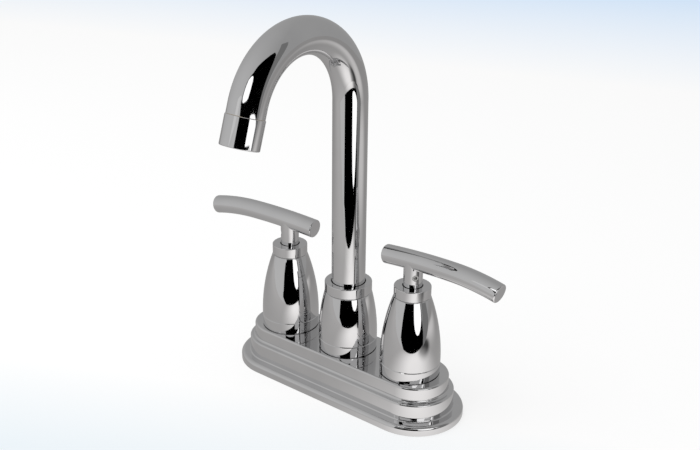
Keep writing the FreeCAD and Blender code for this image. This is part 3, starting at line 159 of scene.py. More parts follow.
def add_relief(finish, source, depth):
    """Raise and sink the surface by a pattern; depth is in millimetres."""
    nodes, links = finish.node_tree.nodes, finish.node_tree.links
    bump = nodes.new("ShaderNodeBump")
    bump.inputs["Distance"].default_value = depth * MM
    bump.inputs["Strength"].default_value = 1.0
    links.new(source, bump.inputs["Height"])
    links.new(bump.outputs["Normal"], nodes["Principled BSDF"].inputs["Normal"])


# %% [markdown]
# ### Polished chrome
#
# Chrome plate is a mirror: its look is what stands around it. The polishing wheel leaves faint
# waves some millimetres long, which make the edges of a reflection tremble, and wiping leaves a
# little haze that comes and goes. Both are far too shallow to model, so they are relief and
# roughness in the material.

# %% Make polished chrome
polished_chrome = new_finish("polished_chrome", Metallic=1.0)
drive_colour(polished_chrome, add_noise(polished_chrome, 45),
             (0.680, 0.678, 0.683), (0.708, 0.706, 0.710))
drive_roughness(polished_chrome, add_noise(polished_chrome, 130, 6), 0.012, 0.045)
add_relief(polished_chrome, add_noise(polished_chrome, 95, 1), 0.009)
print("finish made:", polished_chrome.name)

# %% [markdown]
# ### The finishes inside and below
#
# The casting is shot blasted and stays grainy. Turned brass shows the fine rings of the tool.
# Stainless steel is rolled sheet with faint lines. Rubber and nylon are dull with a moulded skin,
# acetal is smooth and slightly waxy, and the lapped ceramic discs are even and hard.

# %% Make the other finishes
cast_brass = new_finish("cast_brass", Metallic=1.0)
drive_colour(cast_brass, add_noise(cast_brass, 160, 5), (0.36, 0.23, 0.075), (0.56, 0.40, 0.15))
drive_roughness(cast_brass, add_noise(cast_brass, 420, 3), 0.38, 0.62)
add_relief(cast_brass, add_noise(cast_brass, 1400, 2), 0.09)

turned_brass = new_finish("turned_brass", Metallic=1.0)
drive_colour(turned_brass, add_noise(turned_brass, 120, 4), (0.58, 0.41, 0.15), (0.70, 0.52, 0.22))
drive_roughness(turned_brass, add_noise(turned_brass, 300, 3, (0.2, 0.2, 6)), 0.16, 0.34)
add_relief(turned_brass, add_noise(turned_brass, 900, 2, (0.05, 0.05, 4)), 0.02)

stainless_steel = new_finish("stainless_steel", Metallic=1.0)
drive_colour(stainless_steel, add_noise(stainless_steel, 90, 4), (0.44, 0.44, 0.43), (0.56, 0.56, 0.55))
drive_roughness(stainless_steel, add_noise(stainless_steel, 500, 4, (8, 0.4, 1)), 0.20, 0.40)
add_relief(stainless_steel, add_noise(stainless_steel, 900, 2, (6, 0.3, 1)), 0.012)

black_rubber = new_finish("black_rubber", Metallic=0.0)
drive_colour(black_rubber, add_noise(black_rubber, 220, 4),
             (0.011, 0.011, 0.012), (0.026, 0.026, 0.027))
drive_roughness(black_rubber, add_noise(black_rubber, 700, 3), 0.62, 0.86)
add_relief(black_rubber, add_noise(black_rubber, 2500, 2), 0.03)

black_nylon = new_finish("black_nylon", Metallic=0.0)
drive_colour(black_nylon, add_noise(black_nylon, 300, 3), (0.012, 0.012, 0.013), (0.021, 0.021, 0.023))
drive_roughness(black_nylon, add_noise(black_nylon, 900, 3), 0.36, 0.52)
add_relief(black_nylon, add_noise(black_nylon, 3000, 2), 0.012)

white_plastic = new_finish("white_plastic", Metallic=0.0, Subsurface_Weight=0.05)
drive_colour(white_plastic, add_noise(white_plastic, 150, 3), (0.70, 0.70, 0.67), (0.77, 0.77, 0.75))
drive_roughness(white_plastic, add_noise(white_plastic, 600, 3), 0.24, 0.36)
add_relief(white_plastic, add_noise(white_plastic, 1500, 2), 0.01)

white_ceramic = new_finish("white_ceramic", Metallic=0.0)
drive_colour(white_ceramic, add_noise(white_ceramic, 500, 5), (0.79, 0.77, 0.72), (0.86, 0.85, 0.81))
drive_roughness(white_ceramic, add_noise(white_ceramic, 1200, 3), 0.10, 0.20)
add_relief(white_ceramic, add_noise(white_ceramic, 4000, 2), 0.004)

print("finishes made:", ", ".join(sorted(finishes)))

# %% [markdown]
# ## Helpers for modelling
#
# Most of this tap is turned work. Such a piece is one cut face spun round an axis, so the helpers
# draw a cut face from a single vertex: straight runs are extruded and arcs are spun. Everything is
# modelled about the origin, in edit mode, so that the object itself never moves.

# %% Draw a cut face
def choose(piece=None):
    """Leave edit mode, and select this piece alone."""
    if bpy.context.mode != "OBJECT":
        bpy.ops.object.mode_set(mode="OBJECT")
    bpy.ops.object.select_all(action="DESELECT")
    if piece:
        piece.select_set(True)
        bpy.context.view_layer.objects.active = piece


def start_from_a_point(name, place):
    """A new piece of one vertex, in edit mode. A small plane is merged into the vertex."""
    choose()
    bpy.ops.mesh.primitive_plane_add(size=MM)
    piece = bpy.context.object
    piece.name = piece.data.name = name
    bpy.ops.object.mode_set(mode="EDIT")
    bpy.ops.mesh.select_mode(type="VERT")
    bpy.ops.mesh.select_all(action="SELECT")
    bpy.ops.mesh.merge(type="CENTER")
    bpy.ops.transform.translate(value=place)
    return piece


def draw_cut_face(name, start, strokes, across=Vector((1, 0, 0))):
    """Pull a vertex along (out, up) corners; (out, up, centre out, centre up, steps) is an arc."""
    upwards = Vector((0, 0, 1))
    piece = start_from_a_point(name, (across * start[0] + upwards * start[1]) * MM)
    pen = start
    for stroke in strokes:
        if len(stroke) == 2:
            move = across * (stroke[0] - pen[0]) + upwards * (stroke[1] - pen[1])
            bpy.ops.mesh.extrude_region_move(TRANSFORM_OT_translate={"value": move * MM})
        else:
            out, rise, centre_out, centre_up, steps = stroke
            turn = math.atan2(rise - centre_up, out - centre_out)
            turn -= math.atan2(pen[1] - centre_up, pen[0] - centre_out)
            turn = (turn + math.pi) % (2 * math.pi) - math.pi
            centre = (across * centre_out + upwards * centre_up) * MM
            bpy.ops.mesh.spin(steps=steps, angle=turn, center=centre, axis=upwards.cross(across))
        pen = stroke[:2]
    bpy.ops.mesh.select_all(action="SELECT")
    return piece


def arc_centre(start, end, radius):
    """The centre of an arc that bows away from the axis on its way up."""
    out, rise = end[0] - start[0], end[1] - start[1]
    chord = math.hypot(out, rise)
    height = math.sqrt(radius ** 2 - chord ** 2 / 4)
    return ((start[0] + end[0]) / 2 - rise / chord * height,
            (start[1] + end[1]) / 2 + out / chord * height)


# %% Close, place, copy and finish a piece
SAME_POINT = 0.0005 * MM
CREASE = math.radians(30)


def close_up():
    """Merge what meets, and let all faces look outwards."""
    bpy.ops.mesh.select_all(action="SELECT")
    bpy.ops.mesh.remove_doubles(threshold=SAME_POINT)
    bpy.ops.mesh.normals_make_consistent(inside=False)


def turn_on_the_lathe(steps=160):
    """Spin the whole cut face round the origin's upright axis."""
    bpy.ops.mesh.select_all(action="SELECT")
    bpy.ops.mesh.spin(steps=steps, angle=2 * math.pi, center=(0, 0, 0), axis=(0, 0, 1))
    close_up()


def shift(piece, x=0.0, y=0.0, z=0.0):
    """Move a piece inside its own object, so that the object stays at the origin."""
    choose(piece)
    bpy.ops.object.mode_set(mode="EDIT")
    bpy.ops.mesh.select_all(action="SELECT")
    bpy.ops.transform.translate(value=(x * MM, y * MM, z * MM))
    bpy.ops.object.mode_set(mode="OBJECT")


def rotate(piece, degrees, axis):
    """Turn a piece about the origin. With no window the operator turns the other way."""
    choose(piece)
    bpy.ops.object.mode_set(mode="EDIT")
    bpy.ops.mesh.select_all(action="SELECT")
    bpy.ops.transform.rotate(value=-math.radians(degrees), orient_axis=axis, center_override=(0, 0, 0))
    bpy.ops.object.mode_set(mode="OBJECT")


def copy_piece(piece, name):
    """A copy with its own mesh."""
    choose(piece)
    bpy.ops.object.duplicate(linked=False)
    copied = bpy.context.object
    copied.name = copied.data.name = name
    return copied


def apply_boolean(piece, tool, operation):
    """Join a tool with a piece, or cut it away, and throw the tool away."""
    choose(piece)
    modifier = piece.modifiers.new("cut", "BOOLEAN")
    modifier.operation = operation
    modifier.solver = "EXACT"
    modifier.object = tool
    bpy.ops.object.modifier_apply(modifier=modifier.name)
    bpy.data.objects.remove(tool)


def finish_piece(piece, node, body, slot="polished_chrome"):
    """Smooth the piece but for its creases, give it its finish, tie it to its body and hide the CAD
    node it stands for.
    """
    choose(piece)
    bpy.ops.object.shade_smooth_by_angle(angle=CREASE)
    weighted = piece.modifiers.new("even_normals", "WEIGHTED_NORMAL")
    weighted.keep_sharp = True
    bpy.ops.object.modifier_apply(modifier=weighted.name)
    piece.data.materials.clear()
    piece.data.materials.append(finishes[slot])
    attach(piece, body)
    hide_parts(node)
    print(piece.name, "stands for", node, "with", len(piece.data.polygons), "faces")


# %% [markdown]
# ## The deck plate
#
# The plate is a pressed and plated shell with three oblong tiers. A cube with bevelled corners
# would give the oblong, but the roundings of its tiers would meet badly at the ends. So its cut
# face, from the middle line over the tiers and back through the hollow, is swept once round the
# oblong: a half turn, a straight run, a half turn and a straight run. Where a tier's side meets the
# ledge below it, a pressed plate has a small hollow, and polishing widens it: that softens the dark
# lines there. The three holes for the casting's necks are cut afterwards.

# %% Strokes for a tier's edge and hollow
def rounded_edge(radius, top, rounding, steps):
    """A run out to a rounded outer edge, and the arc down round it."""
    return ((radius - rounding, top),
            (radius, top - rounding, radius - rounding, top - rounding, steps))


def hollow(radius, ledge, rounding, steps):
    """A run down to a hollow, and the arc out of the side on to the ledge."""
    return ((radius, ledge + rounding),
            (radius + rounding, ledge, radius + rounding, ledge + rounding, steps))


# %% Sweep the deck plate
HANDLE_X = 50.8
END_OFFSET = 55.0
PLATE_TOP = 28.0
TOP_TIER_R = 21.75
MIDDLE_TOP = 18.2
MIDDLE_TIER_R = 25.3
TIER_EDGE = 1.3
UPPER_HOLLOW = 1.5
LOWER_HOLLOW = 0.9
FLANGE_TOP = 6.1
FLANGE_R = 31.8
FLANGE_EDGE = 2.6
FOOT_EDGE = 0.3
FLANGE_BORE_R = 28.6
FLANGE_BORE_TOP = 3.0
PLATE_WALL = 2.6
NECK_HOLE_R = 13.3

deck_plate = draw_cut_face("plated_deck_plate", (0, PLATE_TOP), [
    *rounded_edge(TOP_TIER_R, PLATE_TOP, TIER_EDGE, 7),
    *hollow(TOP_TIER_R, MIDDLE_TOP, UPPER_HOLLOW, 8),
    *rounded_edge(MIDDLE_TIER_R, MIDDLE_TOP, TIER_EDGE, 7),
    *hollow(MIDDLE_TIER_R, FLANGE_TOP, LOWER_HOLLOW, 6),
    *rounded_edge(FLANGE_R, FLANGE_TOP, FLANGE_EDGE, 10),
    (FLANGE_R, FOOT_EDGE), (FLANGE_R - FOOT_EDGE, 0, FLANGE_R - FOOT_EDGE, FOOT_EDGE, 3),
    (FLANGE_BORE_R, 0), (FLANGE_BORE_R, FLANGE_BORE_TOP),
    (MIDDLE_TIER_R - PLATE_WALL, FLANGE_BORE_TOP),
    (MIDDLE_TIER_R - PLATE_WALL, MIDDLE_TOP - PLATE_WALL),
    (TOP_TIER_R - PLATE_WALL, MIDDLE_TOP - PLATE_WALL),
    (TOP_TIER_R - PLATE_WALL, PLATE_TOP - PLATE_WALL), (0, PLATE_TOP - PLATE_WALL)],
    across=Vector((0, -1, 0)))
bpy.ops.transform.translate(value=(END_OFFSET * MM, 0, 0))
for end in (1, -1):
    bpy.ops.mesh.spin(steps=96, angle=-math.pi, center=(end * END_OFFSET * MM, 0, 0), axis=(0, 0, 1))
    bpy.ops.mesh.extrude_region_move(
        TRANSFORM_OT_translate={"value": (-end * 2 * END_OFFSET * MM, 0, 0)})
close_up()
for x in (-HANDLE_X, 0, HANDLE_X):
    hole = draw_cut_face("hole", (0, 20), [(NECK_HOLE_R, 20), (NECK_HOLE_R, 35), (0, 35)])
    turn_on_the_lathe(96)
    shift(hole, x)
    apply_boolean(deck_plate, hole, "DIFFERENCE")
finish_piece(deck_plate, "deck_plate", "tap_body")

# %% [markdown]
# ## Base rings, domes and collars
#
# Under each dome sits a ring with an upright, hardly bowed side, and a fine seam where the dome
# stands on it. The dome is a thin shell, nearly upright at its foot and leaning in towards its top,
# and a polished collar with a thin lip is screwed into it. All are turned, so each is a cut face on
# the lathe. The edges at the seam are broken by a third of a millimetre, which is the fine line
# there. The feet of the rings and collars are set back, and that gap is the dark line under them.

# %% Turn the base rings
SEAM = 35.8
DOME_R = 19.4
SET_BACK = 1.0
SHADOW_GAP = 0.5
RING_BOW = 150
RING_FOOT = (19.25, PLATE_TOP + SHADOW_GAP)
EDGE_BREAK = 0.35
RING_EDGE = (DOME_R, SEAM - EDGE_BREAK)
RING_BORE_R = 13.05
RIM_R = 17.15
RIM_BORE_R = 15.45
RIM_TOP = 39.8

base_ring = draw_cut_face("plated_hot_base_ring", (RING_BORE_R, PLATE_TOP), [
    (RING_FOOT[0] - SET_BACK, PLATE_TOP), (RING_FOOT[0] - SET_BACK, RING_FOOT[1]), RING_FOOT,
    (*RING_EDGE, *arc_centre(RING_FOOT, RING_EDGE, RING_BOW), 10), (DOME_R - EDGE_BREAK, SEAM),
    (RIM_R, SEAM), (RIM_R, RIM_TOP), (RIM_BORE_R, RIM_TOP), (RIM_BORE_R, SEAM),
    (RING_BORE_R, SEAM), (RING_BORE_R, PLATE_TOP)])
turn_on_the_lathe()
for side, x in (("spout", 0), ("cold", HANDLE_X)):
    ring = copy_piece(base_ring, f"plated_{side}_base_ring")
    shift(ring, x)
    finish_piece(ring, f"{side}_base_ring", "tap_body")
shift(base_ring, -HANDLE_X)
finish_piece(base_ring, "hot_base_ring", "tap_body")

# %% Turn the domes
BELLY = 37.0
DOME_WALL = 2.2
WEB = 3.4
# A dome's top, its collar's radius and the radius of its hole
HANDLE_DOME = (80.9, 11.70, 8.71)
SPOUT_DOME = (68.6, 15.47, 13.66)


def turn_dome(name, top, collar_r, hole_r):
    """A shell whose side is one arc from the belly up to the collar, with a thick top."""
    rise, inset = top - BELLY, DOME_R - collar_r
    side_r = (rise ** 2 + inset ** 2) / (2 * inset)
    centre = (DOME_R - side_r, BELLY)
    web_r = centre[0] + math.sqrt((side_r - DOME_WALL) ** 2 - (top - WEB - BELLY) ** 2)
    edge_z = top - EDGE_BREAK
    edge_r = centre[0] + math.sqrt(side_r ** 2 - (edge_z - BELLY) ** 2)
    inner_r = DOME_R - DOME_WALL
    piece = draw_cut_face(name, (inner_r, SEAM), [
        (DOME_R - EDGE_BREAK, SEAM), (DOME_R, SEAM + EDGE_BREAK), (DOME_R, BELLY),
        (edge_r, edge_z, *centre, 40), (collar_r - EDGE_BREAK, top), (hole_r, top),
        (hole_r, top - WEB), (web_r, top - WEB), (inner_r, BELLY, *centre, 16), (inner_r, SEAM)])
    turn_on_the_lathe()
    return piece


hot_dome = turn_dome("plated_hot_dome", *HANDLE_DOME)
cold_dome = copy_piece(hot_dome, "plated_cold_dome")
shift(hot_dome, -HANDLE_X)
shift(cold_dome, HANDLE_X)
spout_dome = turn_dome("plated_spout_dome", *SPOUT_DOME)
for dome, side in ((hot_dome, "hot"), (cold_dome, "cold"), (spout_dome, "spout")):
    finish_piece(dome, f"{side}_dome", "tap_body")


# %% Turn the collars
COLLAR_HEIGHT = 7.0
COLLAR_EDGE = 0.5
SPIGOT_LENGTH = 5
SPIGOT_WALL = 1.2
SCREW_GAP = 0.05
LIP = 0.86
LIP_THICKNESS = 1.3


def turn_collar(name, foot, collar_r, hole_r):
    """A cap with a screwed spigot below, a foot set back and a thin lip over the glide ring."""
    top, foot_r, edge_r = foot + COLLAR_HEIGHT, collar_r - SET_BACK, collar_r - COLLAR_EDGE
    spigot_r = hole_r - SCREW_GAP
    seat_r = spigot_r - SPIGOT_WALL
    piece = draw_cut_face(name, (seat_r, foot - SPIGOT_LENGTH), [
        (spigot_r, foot - SPIGOT_LENGTH), (spigot_r, foot), (foot_r, foot),
        (foot_r, foot + SHADOW_GAP), (collar_r, foot + SHADOW_GAP), (collar_r, top - COLLAR_EDGE),
        (edge_r, top, edge_r, top - COLLAR_EDGE, 4), (seat_r - LIP, top),
        (seat_r - LIP, top - LIP_THICKNESS), (seat_r, top - LIP_THICKNESS),
        (seat_r, foot - SPIGOT_LENGTH)])
    turn_on_the_lathe()
    return piece


hot_collar = turn_collar("plated_hot_collar", *HANDLE_DOME)
cold_collar = copy_piece(hot_collar, "plated_cold_collar")
shift(hot_collar, -HANDLE_X)
shift(cold_collar, HANDLE_X)
spout_collar = turn_collar("plated_spout_collar", *SPOUT_DOME)
for collar, side in ((hot_collar, "hot"), (cold_collar, "cold"), (spout_collar, "spout")):
    finish_piece(collar, f"{side}_collar", "tap_body")

# %% [markdown]
# ## The levers
#
# A lever is a round rod that rises very gently from its short end to a crest and then bends down to
# its long end, on a post that hides the cartridge's stem. Sweeping a circle along a curve would do,
# but the rod's line is just two arcs, so a circle at the crest is spun about each arc's centre. The
# ends are closed and their edges broken, and the post is joined on with a boolean.

# %% Make one lever along +X
ROD_R = 6.1
CREST = (29.5, 105.6)
OUTER_CURVE = 148.0
INNER_CURVE = 480.0
LONG_END = 62.4
SHORT_END = -21.0
END_EDGE = 0.8
POST_R = 6.05
POST_BOTTOM = 63.7
POST_TOP = 104.0
POST_EDGE = 0.3
SOCKET_R = 3.5
SOCKET_TOP = 99.09


def select_ring(piece, x):
    """Select the vertices that stand at one x."""
    bpy.ops.mesh.select_all(action="DESELECT")
    shape = bmesh.from_edit_mesh(piece.data)
    for vertex in shape.verts:
        vertex.select = abs(vertex.co.x - x * MM) < 0.001 * MM
    shape.select_flush(True)
    bmesh.update_edit_mesh(piece.data)


lever = start_from_a_point("plated_cold_lever", (CREST[0] * MM, 0, (CREST[1] + ROD_R) * MM))
bpy.ops.mesh.spin(steps=112, angle=2 * math.pi, center=(CREST[0] * MM, 0, CREST[1] * MM),
                  axis=(1, 0, 0))
bpy.ops.mesh.select_all(action="SELECT")
bpy.ops.mesh.remove_doubles(threshold=SAME_POINT)
for end, curve_r, steps in ((LONG_END, OUTER_CURVE, 40), (SHORT_END, INNER_CURVE, 60)):
    select_ring(lever, CREST[0])
    turn = math.asin((end - CREST[0]) / curve_r)
    bpy.ops.mesh.spin(steps=steps, angle=-turn, axis=(0, 1, 0),
                      center=(CREST[0] * MM, 0, (CREST[1] - curve_r) * MM))
    bpy.ops.mesh.edge_face_add()
    bpy.ops.mesh.bevel(offset=END_EDGE * MM, segments=5, affect="EDGES")
close_up()

post = draw_cut_face("post", (0, POST_BOTTOM), [
    (POST_R - POST_EDGE, POST_BOTTOM), (POST_R, POST_BOTTOM + POST_EDGE), (POST_R, POST_TOP),
    (0, POST_TOP)])
turn_on_the_lathe(112)
apply_boolean(lever, post, "UNION")
socket = draw_cut_face("socket", (0, POST_BOTTOM - 1), [
    (SOCKET_R, POST_BOTTOM - 1), (SOCKET_R, SOCKET_TOP), (0, SOCKET_TOP)])
turn_on_the_lathe(64)
apply_boolean(lever, socket, "DIFFERENCE")
print("the rod, its post and the stem's socket have", len(lever.data.polygons), "faces")

# %% Turn each lever to where the photograph has it
SCREW_ANGLE = 39.0
SCREW_Z = 94.99
SCREW_HOLE_R = 2.05
DRILL_LENGTH = 9
COLD_TURN = -1.5
HOT_TURN = 184.8


def drill_for_screw(piece, direction):
    """Cut the set screw's hole, level and outwards from the post's axis."""
    drill = draw_cut_face("drill", (0, 0), [
        (SCREW_HOLE_R, 0), (SCREW_HOLE_R, DRILL_LENGTH), (0, DRILL_LENGTH)])
    turn_on_the_lathe(48)
    rotate(drill, 90, "Y")
    rotate(drill, direction, "Z")
    shift(drill, 0, 0, SCREW_Z)
    apply_boolean(piece, drill, "DIFFERENCE")


hot_lever = copy_piece(lever, "plated_hot_lever")
for piece, side, x, turn, screw in ((lever, "cold", HANDLE_X, COLD_TURN, -SCREW_ANGLE),
                                    (hot_lever, "hot", -HANDLE_X, HOT_TURN, SCREW_ANGLE)):
    drill_for_screw(piece, screw)
    rotate(piece, turn, "Z")
    shift(piece, x)
    finish_piece(piece, f"{side}_lever", f"{side}_handle")

# %% [markdown]
# ## The spout
#
# The gooseneck is drawn tube: an upright, a bend of a little less than a half turn and a short
# straight tip. One circle is extruded up, spun round the bend and extruded again. It is closed with
# a wall by Solidify, inwards, so that its outside keeps its size.

# %% Bend the spout's tube
TUBE_R = 11.0
TUBE_WALL = 1.2
TUBE_FOOT = 54.05
COLUMN_TOP = 197.1
COLUMN_STEPS = 12
BEND_R = 45.5
BEND_ANGLE = 161.4
TIP = 5.7
lean = math.radians(BEND_ANGLE)
along_tip = Vector((0, -math.sin(lean), math.cos(lean)))
tube_end = Vector((0, BEND_R * math.cos(lean) - BEND_R, COLUMN_TOP + BEND_R * math.sin(lean)))
tube_end += along_tip * TIP

spout_tube = start_from_a_point("plated_spout_tube", (TUBE_R * MM, 0, TUBE_FOOT * MM))
bpy.ops.mesh.spin(steps=144, angle=2 * math.pi, center=(0, 0, 0), axis=(0, 0, 1))
bpy.ops.mesh.select_all(action="SELECT")
bpy.ops.mesh.remove_doubles(threshold=SAME_POINT)
rise = (COLUMN_TOP - TUBE_FOOT) / COLUMN_STEPS
for step in range(COLUMN_STEPS):
    bpy.ops.mesh.extrude_region_move(TRANSFORM_OT_translate={"value": (0, 0, rise * MM)})
bpy.ops.mesh.spin(steps=120, angle=-lean, center=(0, -BEND_R * MM, COLUMN_TOP * MM), axis=(1, 0, 0))
bpy.ops.mesh.extrude_region_move(TRANSFORM_OT_translate={"value": along_tip * TIP * MM})
close_up()
bpy.ops.object.mode_set(mode="OBJECT")
wall = spout_tube.modifiers.new("wall", "SOLIDIFY")
wall.thickness = TUBE_WALL * MM
wall.offset = -1
bpy.ops.object.modifier_apply(modifier=wall.name)
finish_piece(spout_tube, "spout_tube", "spout")
print("the tube ends at", [round(c, 2) for c in tube_end], "mm")

# %% [markdown]
# ### The aerator's shell
#
# The sleeve at the spout's end is turned like the collars and screwed on, a hair away from the
# tube, which is the fine line across the spout. It is turned upright, then tipped to the tube's
# lean and moved to its end.

# %% Turn the aerator's shell
SHELL_R = 11.4
SHELL_TOP = -0.15
SHELL_TIP = -17.4
TOP_EDGE = 0.25
TIP_EDGE = 0.6
SCREW_BORE_R = 10.4
SCREW_BORE_END = -8.0
INNER_R = 9.95
MOUTH_R = 9.2
MOUTH_TOP = -15.8

aerator_shell = draw_cut_face("plated_aerator_shell", (SCREW_BORE_R, SHELL_TOP), [
    (SHELL_R - TOP_EDGE, SHELL_TOP), (SHELL_R, SHELL_TOP - TOP_EDGE), (SHELL_R, SHELL_TIP + TIP_EDGE),
    (SHELL_R - TIP_EDGE, SHELL_TIP, SHELL_R - TIP_EDGE, SHELL_TIP + TIP_EDGE, 5),
    (MOUTH_R, SHELL_TIP), (MOUTH_R, MOUTH_TOP), (INNER_R, MOUTH_TOP), (INNER_R, SCREW_BORE_END),
    (SCREW_BORE_R, SCREW_BORE_END), (SCREW_BORE_R, SHELL_TOP)])
turn_on_the_lathe(144)
rotate(aerator_shell, BEND_ANGLE - 180, "X")
shift(aerator_shell, *tube_end)
finish_piece(aerator_shell, "aerator_shell", "spout")

# %% [markdown]
# ## The shanks
#
# The two nipples are half inch pipe with a real thread, 14 turns to the inch, down to a plain tail.
# Rings would be easier than a thread but don't climb. So one tooth is drawn, a Screw modifier winds
# it up the shank, its ends are cut level, the tail is joined on and the waterway bored through.

# %% Wind the shanks' threads
PITCH = 25.4 / 14
THREAD_R = 10.45
ROOT_R = 9.35
SHANK_TOP = 4.8
THREAD_END = -42.0
SHANK_END = -56.0
TAIL_R = 10.2
TAIL_EDGE = 1.0
BORE_R = 7.0
BORE_EDGE = 0.8
# Where a tooth starts to rise, is full and starts to fall, as parts of one turn
RISE_AT = 0.12
FULL_AT = 0.45
FALL_AT = 0.67
foot = THREAD_END - PITCH

hot_shank = draw_cut_face("threaded_hot_shank", (ROOT_R, foot), [
    (ROOT_R, foot + RISE_AT * PITCH), (THREAD_R, foot + FULL_AT * PITCH),
    (THREAD_R, foot + FALL_AT * PITCH), (ROOT_R, foot + PITCH)])
bpy.ops.object.mode_set(mode="OBJECT")
winding = hot_shank.modifiers.new("winding", "SCREW")
winding.screw_offset = PITCH * MM
winding.iterations = math.ceil((SHANK_TOP - THREAD_END) / PITCH) + 2
winding.steps = winding.render_steps = 48
bpy.ops.object.modifier_apply(modifier=winding.name)
bpy.ops.object.mode_set(mode="EDIT")
close_up()
for height, side in ((SHANK_TOP, 1), (THREAD_END, -1)):
    bpy.ops.mesh.select_all(action="SELECT")
    bpy.ops.mesh.bisect(plane_co=(0, 0, height * MM), plane_no=(0, 0, side), use_fill=True,
                        clear_outer=True)
close_up()
tail = draw_cut_face("tail", (0, SHANK_END), [
    (TAIL_R - TAIL_EDGE, SHANK_END), (TAIL_R, SHANK_END + TAIL_EDGE), (TAIL_R, THREAD_END - 0.4),
    (TAIL_R - 1.2, THREAD_END + 0.8), (0, THREAD_END + 0.8)])
turn_on_the_lathe(96)
apply_boolean(hot_shank, tail, "UNION")
bore = draw_cut_face("bore", (0, SHANK_END - 1), [
    (BORE_R + BORE_EDGE, SHANK_END - 1), (BORE_R, SHANK_END + BORE_EDGE), (BORE_R, SHANK_TOP + 1),
    (0, SHANK_TOP + 1)])
turn_on_the_lathe(96)
apply_boolean(hot_shank, bore, "DIFFERENCE")
cold_shank = copy_piece(hot_shank, "threaded_cold_shank")
shift(hot_shank, -HANDLE_X)
shift(cold_shank, HANDLE_X)
for shank, side in ((hot_shank, "hot"), (cold_shank, "cold")):
    finish_piece(shank, f"{side}_inlet_shank", "tap_body", "turned_brass")

# %% [markdown]
# ## The lock nuts
#
# A lock nut is cut from hexagon bar and chamfered on a lathe, which leaves the curved edge on each
# flat. The same is done here: a hexagon is pulled up to its height and kept only where a turned
# blank with two cone faces holds it. Then the hole is cut, with a countersink at each end.

# %% Cut the lock nuts
NUT_TOP = -21.5
NUT_HEIGHT = 9.0
FLAT_R = 16.0
CORNER_R = FLAT_R / math.cos(math.radians(30))
NUT_FACE_R = 15.5
CHAMFER = 1.8
NUT_HOLE_R = 10.5
COUNTERSINK = 0.8
nut_foot = NUT_TOP - NUT_HEIGHT
blank_r = CORNER_R + 0.2

choose()
bpy.ops.mesh.primitive_circle_add(vertices=6, radius=CORNER_R * MM, fill_type="NGON",
                                  location=(0, 0, 0), rotation=(0, 0, 0))
hot_nut = bpy.context.object
hot_nut.name = hot_nut.data.name = "hexagon_lock_nuts"
bpy.ops.object.mode_set(mode="EDIT")
bpy.ops.mesh.select_all(action="SELECT")
bpy.ops.transform.translate(value=(0, 0, nut_foot * MM))
bpy.ops.mesh.extrude_region_move(TRANSFORM_OT_translate={"value": (0, 0, NUT_HEIGHT * MM)})
close_up()
blank = draw_cut_face("blank", (0, nut_foot), [
    (NUT_FACE_R, nut_foot), (blank_r, nut_foot + CHAMFER), (blank_r, NUT_TOP - CHAMFER),
    (NUT_FACE_R, NUT_TOP), (0, NUT_TOP)])
turn_on_the_lathe(144)
apply_boolean(hot_nut, blank, "INTERSECT")
hole = draw_cut_face("hole", (0, nut_foot - 1), [
    (NUT_HOLE_R + COUNTERSINK + 1, nut_foot - 1), (NUT_HOLE_R, nut_foot + COUNTERSINK),
    (NUT_HOLE_R, NUT_TOP - COUNTERSINK), (NUT_HOLE_R + COUNTERSINK + 1, NUT_TOP + 1),
    (0, NUT_TOP + 1)])
turn_on_the_lathe(96)
apply_boolean(hot_nut, hole, "DIFFERENCE")
cold_nut = copy_piece(hot_nut, "cold_nut")
shift(cold_nut, HANDLE_X)
shift(hot_nut, -HANDLE_X)
cold_nut.select_set(True)
bpy.ops.object.join()
finish_piece(hot_nut, "lock_nuts", "tap_body", "turned_brass")

# %% [markdown]
# ## Finishes for the CAD nodes that stay
#
# The pieces inside and under the tap keep their solids: their shapes are right, and only a look
# from below or into the collars meets them. The record says which finish each one has.

# %% Dress the remaining CAD nodes
for subpart in frame["record"]["subparts"]:
    for node_name, node in frame["nodes"].items():
        if node_name in (subpart.get("node"), subpart.get("name")) and not node.hide_render:
            node.data.materials.clear()
            node.data.materials.append(finishes[subpart["material_slot"]])
            print(node_name, "is", subpart["material_slot"])

# %% [markdown]
# ## The studio
#
# The photograph's chrome says what stood around it. The walls are an even light grey. In front,
# beyond the camera's foot, is a dark opening with a bright window in it. Its dark foot goes down to a
# lower floor beyond the table's edge, where the column's long dark stripe ends. A dark flag hangs
# nearer and higher, with a window at its upper left and a bright band along its lower edge, and a grey
# gap shows between the two. To the right it is dim. The table is bright in front, and its light fades
# towards the back. All are cards that only reflections see, so that they don't stand in the picture.

# %% Helpers for the studio
def glowing(name, brightness):
    """A plain light surface of one brightness."""
    material = bpy.data.materials.new(name)
    material.use_nodes = True
    nodes, links = material.node_tree.nodes, material.node_tree.links
    nodes.clear()
    light = nodes.new("ShaderNodeEmission")
    light.inputs["Strength"].default_value = brightness
    output = nodes.new("ShaderNodeOutputMaterial")
    links.new(light.outputs["Emission"], output.inputs["Surface"])
    return material


def only_in_reflections(thing):
    """Show a stage object to glossy rays alone."""
    thing.visible_camera = False
    thing.visible_diffuse = False
    thing.visible_transmission = False
    thing.visible_volume_scatter = False
    thing.visible_shadow = False


def hang_card(name, distance, corners, brightness):
    """A card that faces the tap; a corner is (to the picture's right, up), from the spout's foot."""
    card = draw_cut_face(name, corners[0], corners[1:])
    bpy.ops.mesh.edge_face_add()
    bpy.ops.object.mode_set(mode="OBJECT")
    card.rotation_euler.z = AZIMUTH
    card.location = towards_camera * distance * MM
    card.data.materials.append(glowing(name, brightness))
    only_in_reflections(card)


